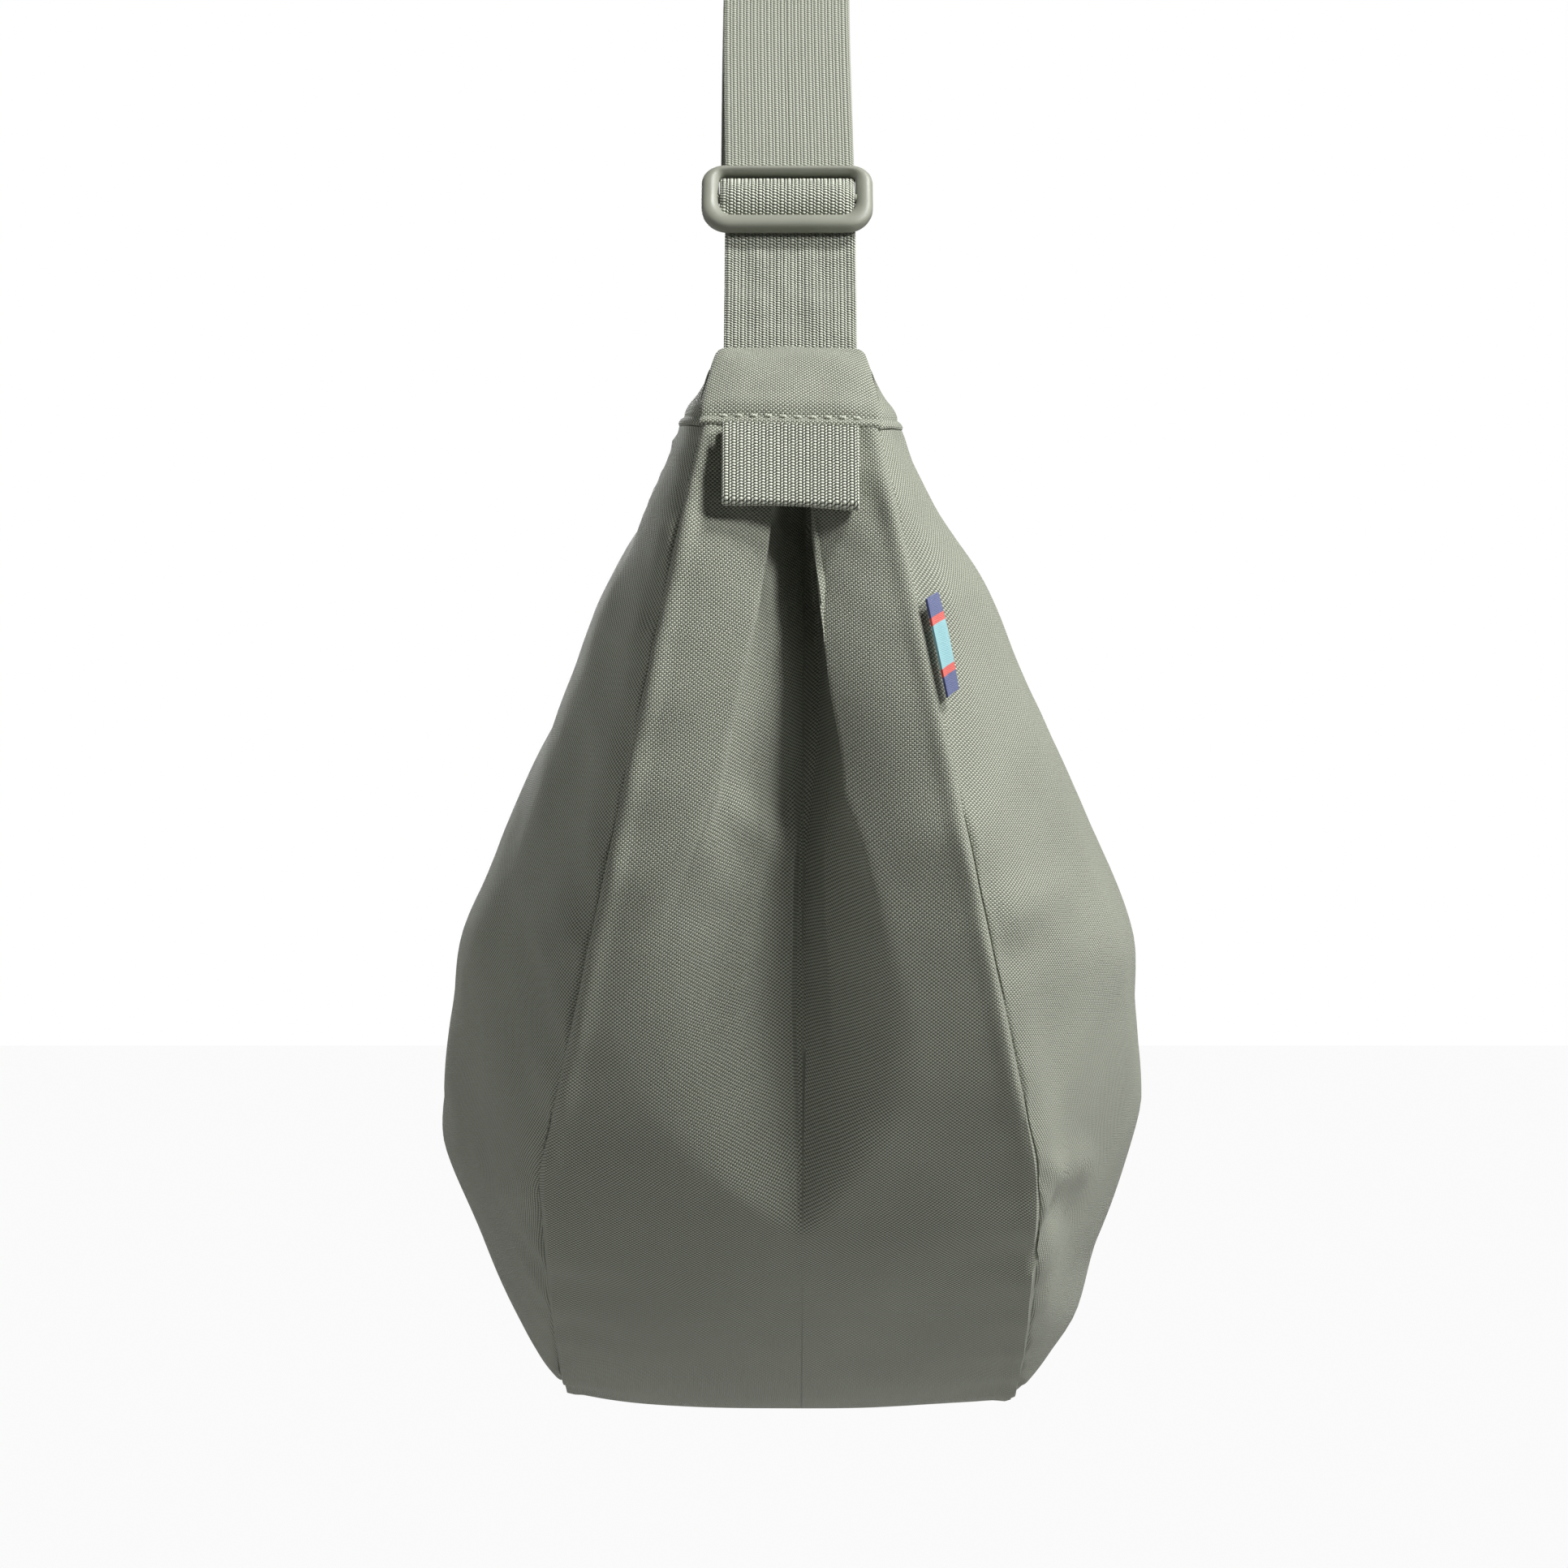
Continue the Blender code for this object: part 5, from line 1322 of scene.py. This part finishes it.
def cap_tops(end, layers):
    """The top edges of a cap's front side, face and rear side."""
    lip = layers * WEBBING_THICKNESS / 2 + (layers - 1) * CLEARANCE / 2 + CLEARANCE + FABRIC_THICKNESS
    half = WEBBING_WIDTH / 2 + CLEARANCE + FABRIC_THICKNESS + CAP_TOP_WIDER
    axis_n = -(layers - 1) * LAYER_PITCH / 2
    share = np.linspace(0, 1, CAP_COLUMNS)
    side_x = np.minimum(share / CAP_TURN_SHARE, 1) * half
    side_n = lip * (2 * np.clip((share - CAP_TURN_SHARE) / (1 - CAP_TURN_SHARE), 0, 1) - 1)
    face_x = half * (1 - 2 * share)
    side = leg_place(end, side_x, rounded_top(side_x, half), axis_n + side_n)
    face = leg_place(end, face_x, rounded_top(face_x, half), axis_n + lip)
    return side, face, side[::-1] * MIRROR


def cap_relief(index, along, above):
    """A cap piece's hem roll, sunk stitches, edges, seams, fullness and unevenness."""
    below_top = above[-1:] - above
    edge = np.minimum(along, along[:, -1:] - along)
    seam_edge = (along[:, -1:] - along, edge, along)[index]
    push = -STITCH_SINK * bell(above - STITCH_ABOVE_HEM, STITCH_SINK_WIDTH)
    push += (FACE_HEM_ROLL if index == 1 else SIDE_HEM_ROLL) * bell(above - HEM_ROLL_AT, HEM_ROLL_WIDTH)
    push += ABOVE_HEM_PUFF * bell(above - ABOVE_HEM_PUFF_AT, ABOVE_HEM_PUFF_WIDTH)
    push -= HEM_EDGE_DROP * np.clip(1 - above / HEM_EDGE_WIDTH, 0, 1) ** 2
    push -= TOP_EDGE_DROP * np.clip(1 - below_top / TOP_EDGE_WIDTH, 0, 1) ** 2
    push -= CAP_SEAM_DROP * bell(seam_edge, CAP_SEAM_WIDTH)
    if index == 1:
        inside = smooth_step(edge / 0.012) * smooth_step(above / 0.009)
        push += CAP_PUFF * inside * smooth_step(below_top / 0.009)
    uneven = waves(along, above, 5, 0.012, 0.03, 41 + index)
    return push + CAP_RUMPLE * uneven * smooth_step(edge / 0.006) * smooth_step(above / 0.006)


def make_cap(grid, normals, seam_front, seam_rear, end, layers):
    """Face, front side and rear side of one cap: flared fabric with a rolled and stitched hem."""
    label, row = ("near", 0) if end < 0 else ("far", len(grid) - 1)
    hems = around_hem(grid, normals, row, seam_front, seam_rear)
    tops = cap_tops(end, layers)
    axis = leg_place(end, 0.0, 1.0, 0.0) - leg_place(end, 0.0, 0.0, 0.0)
    share = np.linspace(0, 1, CAP_COLUMNS)
    up = np.linspace(0, 1, CAP_ROWS)
    for index, piece in enumerate(("cap_front_side", "cap_face", "cap_rear_side")):
        hem = spread_evenly(hems[index], CAP_COLUMNS)
        span = tops[index] - hem
        climb = (span @ axis)[:, None] * axis
        to_seam = (share, np.ones(CAP_COLUMNS), share[::-1])[index]
        turned = smooth_step((to_seam - FLARE_TURN_SHARE) / (1 - FLARE_TURN_SHARE))
        flare = SIDE_FLARE + (FACE_FLARE - SIDE_FLARE) * turned
        outer = np.array([hem + climb * s + (span - climb) * (s**flare)[:, None] for s in up])
        out = cap_normals(outer)
        above = runs_across(np.swapaxes(outer, 0, 1)).T
        along = lengths_along(outer[CAP_ROWS // 3])[None, :]
        push = cap_relief(index, along, above)
        outer = outer + out * push[..., None]
        inner = outer - out * (FABRIC_THICKNESS + np.minimum(push, 0)[..., None])
        outer, inner = (drawn_in(face, ends=False) for face in (outer, inner))
        outer[0] += axis * CLEARANCE / 2
        inner[0] += axis * CLEARANCE / 2
        uv = np.stack(np.broadcast_arrays(along, above), -1)
        made = sheet_mesh(f"{label}_{piece}_cloth", outer, inner, uv, SHELL)
        dress(made, f"{label}_{piece}", "bag")
        if index == 1:
            threads(label, outer, out, above)


def cap_normals(grid):
    """Normals of a cap's face that point away from the webbing inside it."""
    normals = normals_of(grid)
    middle = grid.reshape(-1, 3).mean(0)
    inside = np.array((0.0, middle[1], middle[2]))
    facing = np.sum((grid - inside) * normals)
    return normals if facing > 0 else -normals


def thread_run(line, out, length, pitch, size, sunk):
    """Rings of short lockstitches along a line of points, each one dipping at its ends."""
    total = lengths_along(line)[-1]
    count = int((total - length) / pitch)
    first = (total - (count - 1) * pitch) / 2
    steps = np.linspace(-1, 1, 9)
    rise = size * (0.55 - sunk) - size * 1.1 * np.abs(steps) ** 3
    girth = size / 2 * np.sqrt(1 - 0.75 * np.abs(steps) ** 4)
    high = rise[:, None] + girth[:, None] * np.sin(circle(8))
    wide = girth[:, None] * 1.1 * np.cos(circle(8))
    runs = []
    for k in range(count):
        at = first + k * pitch + steps * length / 2
        spots = at_lengths(line, at)
        up = unit(at_lengths(line, at, out))
        side = unit(np.cross(up, at_lengths(line, at + 1e-4) - spots))
        runs.append(spots[:, None] + up[:, None] * high[..., None] + side[:, None] * wide[..., None])
    return runs


def joined_runs(name, runs, material):
    """One mesh of many short closed tubes of the same size."""
    count, size = runs[0].shape[:2]
    vertices = np.concatenate(runs).reshape(-1, 3)
    tube = tube_faces(count, size)
    starts = range(0, len(vertices), count * size)
    faces = [[point + start for point in face] for start in starts for face in tube]
    along, around = np.arange(count)[:, None] * THREAD_UV_STEPS[0], np.arange(size) * THREAD_UV_STEPS[1]
    uv = np.stack(np.broadcast_arrays(along, around), -1).reshape(-1, 2)
    made = mesh_object(name, vertices, faces, np.tile(uv, (len(runs), 1)), material)
    outward(made)
    return made


def threads(label, outer, out, above):
    """The hem's stitches on a cap's face."""
    lines = []
    for values in (outer, out):
        at_height = partial(np.interp, STITCH_ABOVE_HEM)
        columns = range(2, outer.shape[1] - 2)
        lines.append(np.array([[at_height(above[:, k], values[:, k, c]) for c in range(3)] for k in columns]))
    runs = thread_run(*lines, STITCH_LENGTH, STITCH_PITCH, STITCH_THREAD, 0.35)
    dress(joined_runs(f"{label}_hem_threads", runs, THREAD), f"{label}_hem_stitches", "bag")


def make_label():
    """The woven label that the front seam holds, lying on the front panel."""
    rows, columns = LABEL_CELLS
    u_start = -1 + LABEL_BELOW_HEM / ARC_LENGTH
    small = 1e-3
    faces = []
    uv = np.zeros((rows + 1, columns + 1, 2))
    for lift in (LABEL_THICKNESS, 0.0):
        face = []
        for i in range(rows + 1):
            u = u_start + i * LABEL_LENGTH / ARC_LENGTH / rows
            seam, above = side_line(u, np.array(1.0), 1), side_line(u, np.array(1 - 10 * small), 1)
            per_share = np.linalg.norm(seam - above) / (10 * small)
            line = []
            for j in range(columns + 1):
                t = 1 - (CLEARANCE + LABEL_WIDTH * j / columns) / per_share
                spot = side_line(u, np.array(t), 1)
                along_u = side_line(u + small, np.array(t), 1) - side_line(u - small, np.array(t), 1)
                along_t = side_line(u, np.array(t + small), 1) - side_line(u, np.array(t - small), 1)
                normal = np.cross(along_t, along_u)
                normal *= math.copysign(1, normal[0]) / np.linalg.norm(normal)
                curl = LABEL_CURL * math.sin(i / rows * math.pi) * j / columns
                away = LABEL_LIFT * smooth_step(j / columns) + curl
                line.append(spot + normal * (lift + LABEL_OVER + away))
                uv[i, j] = (LABEL_WIDTH * j / columns, LABEL_LENGTH * i / rows)
            face.append(line)
        faces.append(np.array(face))
    dress(sheet_mesh("side_label_woven", *faces, uv, LABEL), "side_label", "bag")


# Zip


def zip_strip(section, half_angle, closed_from, rows, node):
    """A tape along the zip's arc: section is a closed line of (x, h) points.

    Past the stops its inner edge draws in to meet the other tape.
    """
    section = np.array(section)
    rings, uv = [], []
    across = lengths_along(section)
    reach = np.abs(section[:, 0])
    inner_share = (reach.max() - reach) / (reach.max() - COIL_GAP_HALF)
    for angle in np.linspace(-half_angle, half_angle, rows):
        drawn = smooth_step((abs(angle) - closed_from) * ZIP_RADIUS / 0.002)
        shift = (COIL_GAP_HALF - CLEARANCE / 2) * drawn * inner_share
        x = section[:, 0] - np.sign(section[:, 0]) * shift
        rings.append(zip_place(angle, x, section[:, 1]))
        uv.append(np.stack([across, np.full(len(across), angle * ZIP_RADIUS)], 1))
    dress(tube_mesh(node + "_woven", rings, TAPE, np.array(uv)), node, "bag")


def make_zip(grid, normals):
    """Tapes, coils, topstitching, stops and the slider."""
    tape_top = -(FABRIC_THICKNESS + CLEARANCE)
    tape_low = tape_top - TAPE_THICKNESS
    tape_out = ZIP_LIP_HALF - TAPE_INSET
    tape_angle, coil_angle = ZIP_ANGLE - CLEARANCE / ZIP_RADIUS, ZIP_ANGLE * ZIP_COIL_SHARE
    closed_from = coil_angle + (STOP_LENGTH + 3 * CLEARANCE) / ZIP_RADIUS
    for label, side in (("front", 1), ("rear", -1)):
        xs = np.linspace(COIL_GAP_HALF, tape_out, 12)
        weave = TAPE_WEAVE * np.cos(xs / TAPE_WEAVE_PITCH * 2 * math.pi)
        section = [(side * x, tape_top - 0.0001 + w) for x, w in zip(xs, weave)]
        section += [(side * x, tape_low) for x in xs[::-1]]
        zip_strip(section, tape_angle, closed_from, 300, label + "_zip_tape")
        coil(label, side, tape_top, coil_angle)
        lip_threads(label, side, grid, normals)
    for label, end in (("near", -1), ("far", 1)):
        stop(label, end, coil_angle, tape_top)
    make_slider(coil_angle, tape_low)


def coil(label, side, tape_top, coil_angle):
    """One half of the coil: a row of bent teeth."""
    count = int(2 * coil_angle * ZIP_RADIUS / TOOTH_PITCH)
    low, high = tape_top + CLEARANCE, COIL_ABOVE_LIP
    outer = COIL_GAP_HALF + COIL_WIDTH
    wide, rise = (outer - COIL_HEAD) * 0.43, (high - low) / 2 - TOOTH_WIRE / 2
    t, a = np.linspace(0, 1, 13)[:, None], circle(6)
    turn = 2 * math.pi * (t * 0.94 + 0.03)
    ahead_x, ahead_h = -wide * np.sin(turn), rise * np.cos(turn)
    off = TOOTH_WIRE / 2 * np.cos(a) / np.hypot(ahead_x, ahead_h)
    x = side * ((outer + COIL_HEAD) / 2 + wide * np.cos(turn) - ahead_h * off)
    h = (low + high) / 2 + rise * np.sin(turn) + ahead_x * off
    lean = (t - 0.5) * TOOTH_LEAN + TOOTH_WIRE / 2 * 1.15 * np.sin(a)
    angles = -coil_angle + (np.arange(count) + 0.5 + 0.25 * side) * TOOTH_PITCH / ZIP_RADIUS
    runs = [zip_place(angle + lean / ZIP_RADIUS, x, h) for angle in angles]
    dress(joined_runs(label + "_zip_teeth", runs, COIL), label + "_zip_coil", "bag")


def lip_threads(label, side, grid, normals):
    """Topstitching beside the zip, on the panel's folded edge."""
    column = LIP_COLUMNS - 1 if side > 0 else grid.shape[1] - LIP_COLUMNS
    line, up = grid[8:-8, column], normals[8:-8, column]
    runs = thread_run(line, up, TOPSTITCH_LENGTH, TOPSTITCH_PITCH, TOPSTITCH_THREAD, 0.30)
    made = joined_runs(label + "_zip_topstitch", runs, THREAD)
    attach(made, "bag")


def box_points(half_x, half_t, half_h, radius, steps=5):
    """A rounded box as (x, t, h) rings from its lower to its upper face."""
    rings = []
    for rise in np.linspace(-math.pi / 2, math.pi / 2, 2 * steps + 1):
        h = (1 if rise > 0 else -1) * (half_h - radius) + radius * math.sin(rise)
        inset = -radius * (1 - math.cos(rise))
        corner = max(radius * 2.2 + inset, radius * 0.4)
        ring = []
        for quarter, (sx, st) in enumerate(((1, 1), (-1, 1), (-1, -1), (1, -1))):
            for angle in np.linspace(0, math.pi / 2, 6) + quarter * math.pi / 2:
                x = sx * (half_x + inset - corner) + corner * math.cos(angle)
                t = st * (half_t + inset - corner) + corner * math.sin(angle)
                ring.append((x, t, h))
        rings.append(ring)
    return np.array(rings)


def flat_place(angle, x, t, h):
    """Straight along the zip's tangent at an angle of its arc."""
    radius = ZIP_RADIUS - h
    y = radius * math.sin(angle) + t * math.cos(angle)
    z = ZIP_CENTRE_Z - radius * math.cos(angle) + t * math.sin(angle)
    return np.stack(np.broadcast_arrays(np.asarray(x, float), y, z), -1)


def placed(rings, place):
    """Grids of (x, t, h) put in their place."""
    return place(rings[..., 0], rings[..., 1], rings[..., 2])


def rounded_block(name, centre, halves, radius, place):
    """A metal block with rounded edges."""
    spots = placed(box_points(*halves, radius) + np.array(centre), place)
    return tube_mesh(name, spots, METAL, sharp=BLOCK_SHARP)


def stop(label, end, coil_angle, tape_top):
    """A pressed metal stop at one end of the zip."""
    angle = end * (coil_angle + (CLEARANCE + STOP_LENGTH / 2) / ZIP_RADIUS)
    centre = (0.0, 0.0, tape_top + CLEARANCE + STOP_HEIGHT / 2)
    halves = (COIL_GAP_HALF + COIL_WIDTH, STOP_LENGTH / 2, STOP_HEIGHT / 2)
    made = rounded_block(label + "_zip_stop_cast", centre, halves, 0.0006, partial(flat_place, angle))
    dress(made, label + "_zip_stop", "bag")


def slider_plate_rings(half_l, low, high, radius):
    """A slider's plate: a shield, wide at its front and tapered to its back, with rounded edges."""
    turn = circle(72)
    t = half_l * signed_power(np.sin(turn), 0.75)
    taper = 1 - PLATE_TAPER * smooth_step((t / half_l + 1) / 2) ** 1.2
    x = SLIDER_WIDTH / 2 * taper * signed_power(np.cos(turn), 0.55)
    middle, half_h = (low + high) / 2, (high - low) / 2
    rings = []
    for angle in np.linspace(-math.pi / 2, math.pi / 2, 9):
        share = 1 - radius * (1 - math.cos(angle)) / half_l
        h = np.full(len(turn), middle + half_h * math.sin(angle))
        rings.append(np.stack([x * share, t * share, h], -1))
    return np.array(rings)


def make_slider(coil_angle, tape_low):
    """The slider, its bail and the puller, parked at the far end with the zip shut."""
    angle = coil_angle - (SLIDER_LENGTH / 2 + CLEARANCE) / ZIP_RADIUS
    sagitta = (SLIDER_LENGTH / 2) ** 2 / (2 * ZIP_RADIUS)
    top_low = COIL_ABOVE_LIP + RUNNING_GAP
    top_high = top_low + SLIDER_PLATE
    under_high = tape_low - RUNNING_GAP - sagitta
    place = partial(flat_place, angle)
    pieces = []
    for label, low, high in (("upper", top_low, top_high), ("lower", under_high - SLIDER_PLATE, under_high)):
        spots = placed(slider_plate_rings(SLIDER_LENGTH / 2, low, high, PLATE_ROUNDING), place)
        pieces.append(tube_mesh(f"slider_{label}_plate", spots, METAL, sharp=BLOCK_SHARP))
    centre = (0.0, 0.0, (top_low + under_high) / 2)
    halves = (POST_WIDTH / 2, POST_LENGTH / 2, (top_low - under_high) / 2 + 0.0002)
    pieces.append(rounded_block("slider_post", centre, halves, 0.0002, place))
    flange_low = -FABRIC_THICKNESS + RUNNING_GAP + sagitta
    half_h = (top_low + 0.0004 - flange_low) / 2
    for label, side in (("rear", -1), ("front", 1)):
        centre = (side * (SLIDER_WIDTH / 2 - FLANGE_INSET - SLIDER_FLANGE / 2), -0.0008, flange_low + half_h)
        halves = (SLIDER_FLANGE / 2, SLIDER_LENGTH * 0.34, half_h)
        pieces.append(rounded_block(f"slider_{label}_flange", centre, halves, 0.00025, place))
    pieces.append(bail(top_high, place))
    for piece in pieces:
        dress(piece, "zip_slider", "zip_slider")
    make_puller(angle, top_high)


def bail(top_high, place):
    """The low arch on the slider that the puller hangs from."""
    half = (BAIL_LENGTH - BAIL_WIRE) / 2
    rise = BAIL_SPACE + BAIL_WIRE / 2 + BAIL_SINK
    turn = math.pi * np.linspace(0, 1, 33)
    h = top_high - BAIL_SINK + rise * np.abs(np.sin(turn)) ** 0.55
    path = np.stack([-half * signed_power(np.cos(turn), 0.55), h], 1)
    ahead = unit(np.gradient(path, axis=0))
    across = np.stack([-ahead[:, 1], ahead[:, 0]], 1)
    flat = signed_power(np.cos(circle(12)), 0.7) * BAIL_WIDTH / 2
    up = signed_power(np.sin(circle(12)), 0.7) * BAIL_WIRE / 2
    rings = [place(flat, *(spot[:, None] + out[:, None] * up)) for spot, out in zip(path, across)]
    return tube_mesh("slider_bail", rings, METAL, sharp=BAIL_SHARP)


def make_puller(angle, top_high):
    """The puller: two arms on a pin, and a tapered plate with an eye near its end."""
    pivot_h = top_high + BAIL_SPACE / 2
    cos_lift, sin_lift = math.cos(PULLER_LIFT), math.sin(PULLER_LIFT)

    def place(x, t, h):
        return flat_place(angle, x, t * cos_lift + h * sin_lift, pivot_h + h * cos_lift - t * sin_lift)

    arm_x = PULLER_ARM_GAP / 2 + PULLER_ARM_WIDTH / 2
    pieces = [rod("puller_pin", arm_x, PIVOT_DIAMETER / 2, 6, 16, place, METAL)]
    for label, side in (("rear", -1), ("front", 1)):
        centre = (side * arm_x, -PULLER_ARM_LENGTH / 2 + 0.0002, 0.0)
        halves = (PULLER_ARM_WIDTH / 2, PULLER_ARM_LENGTH / 2 + 0.0008, PIVOT_DIAMETER * 0.46)
        pieces.append(rounded_block(f"puller_{label}_arm", centre, halves, 0.0004, place))
    pieces.append(puller_plate(place))
    for piece in pieces:
        dress(piece, "zip_puller", "zip_puller")


def puller_plate(place):
    """A long plate, wider at its end, with a rounded eye through it."""
    start, finish = -PULLER_ARM_LENGTH, -PULLER_ARM_LENGTH - PULLER_LENGTH
    c, s = np.cos(circle(96)), np.sin(circle(96))
    t = (start + finish) / 2 + (start - finish) / 2 * signed_power(s, 0.45)
    width = PULLER_WIDTH / 2 * (1 - PULLER_TAPER * smooth_step((t - finish) / (start - finish)))
    outer = np.stack([width * signed_power(c, 0.45), t], 1)
    reach = PULLER_EYE / 2 * (np.abs(c) ** 3 + np.abs(s) ** 3) ** (-1 / 3)
    inner = np.stack([reach * c, finish + PULLER_EYE * 1.15 + reach * s], 1)
    profile = [(share, height * PULLER_THICKNESS / 2) for share, height in PULLER_PROFILE]
    return moulded_frame("puller_plate", outer, inner, profile, place, METAL, BLOCK_SHARP)


# Stage, light and camera


def make_stage():
    """A pale floor that shows one even near-white to the camera."""
    bpy.ops.mesh.primitive_plane_add(size=12.0, location=(0.0, 0.0, CAD_BOX_FLOOR - FLOOR_BELOW_BAG))
    floor = bpy.context.object
    floor.name = "pale_floor"
    n = Nodes("pale_floor_paint")
    coordinates = n.new("ShaderNodeTexCoord").outputs["Object"]
    paint = n.mix(n.ramp(n.noise(coordinates, 3.0), 0.3, 0.7), (0.37, 0.37, 0.37), (0.39, 0.39, 0.39))
    n.finish(paint, 0.9)
    glow = n.new("ShaderNodeEmission", {"Color": FLOOR_SHADE})
    path = n.new("ShaderNodeLightPath")
    sockets = {0: path.outputs["Is Camera Ray"], 1: n.shader.outputs[0], 2: glow.outputs[0]}
    seen = n.new("ShaderNodeMixShader", sockets)
    n.fill(n.tree.nodes["Material Output"], {"Surface": seen.outputs[0]})
    floor.data.materials.append(n.material)


def area_light(name, location, size, power):
    data = bpy.data.lights.new(name, "AREA")
    data.shape = "DISK"
    data.size = size
    data.energy = power
    made = bpy.data.objects.new(name, data)
    bpy.context.scene.collection.objects.link(made)
    made.location = location
    made.rotation_euler = (Vector(LIGHTS_AIM) - Vector(location)).to_track_quat("-Z", "Y").to_euler()


def make_lights():
    """Soft lights round the bag, in a room that looks white but lights it little."""
    area_light("high_light", (0.95, -0.62, 1.3), 0.36, 40.0)
    area_light("key_light", (1.2, -1.1, 0.7), 0.40, 25.0)
    area_light("side_light", (1.7, -0.35, 0.2), 0.7, 5.0)
    area_light("left_light", (-1.7, -0.3, 0.1), 1.2, 7.4)
    area_light("back_light", (-0.5, 2.0, 0.4), 1.4, 34.0)
    bpy.context.scene.view_settings.view_transform = "Standard"
    world = bpy.data.worlds.new("white_room")
    bpy.context.scene.world = world
    world.use_nodes = True
    tree = world.node_tree
    room, seen = tree.nodes["Background"], tree.nodes.new("ShaderNodeBackground")
    for background, strength in ((room, ROOM_LIGHT), (seen, 1.0)):
        background.inputs["Color"].default_value = (1, 1, 1, 1)
        background.inputs["Strength"].default_value = strength
    path, mix = tree.nodes.new("ShaderNodeLightPath"), tree.nodes.new("ShaderNodeMixShader")
    for place, source in enumerate((path.outputs["Is Camera Ray"], room.outputs[0], seen.outputs[0])):
        tree.links.new(source, mix.inputs[place])
    tree.links.new(mix.outputs[0], tree.nodes["World Output"].inputs["Surface"])


def make_camera():
    data = bpy.data.cameras.new("camera")
    data.sensor_width = SENSOR_MM
    data.sensor_fit = "HORIZONTAL"
    data.lens = FOCAL_PX / FRAME_PX * SENSOR_MM
    data.clip_start = 0.02
    made = bpy.data.objects.new("camera", data)
    bpy.context.scene.collection.objects.link(made)
    made.location = CAMERA_AT
    made.rotation_euler = (math.pi / 2, 0.0, 0.0)
    bpy.context.scene.camera = made


make_camera()
make_lights()
make_stage()
GRID, NORMALS, SEAM_FRONT, SEAM_REAR = make_body()
make_lining()
make_cap(GRID, NORMALS, SEAM_FRONT, SEAM_REAR, -1, 1)
make_cap(GRID, NORMALS, SEAM_FRONT, SEAM_REAR, 1, 2)
make_strap()
make_tab(-1, "near_tab")
make_tab(1, "far_tab")
make_adjuster()
make_ring()
make_zip(GRID, NORMALS)
make_label()
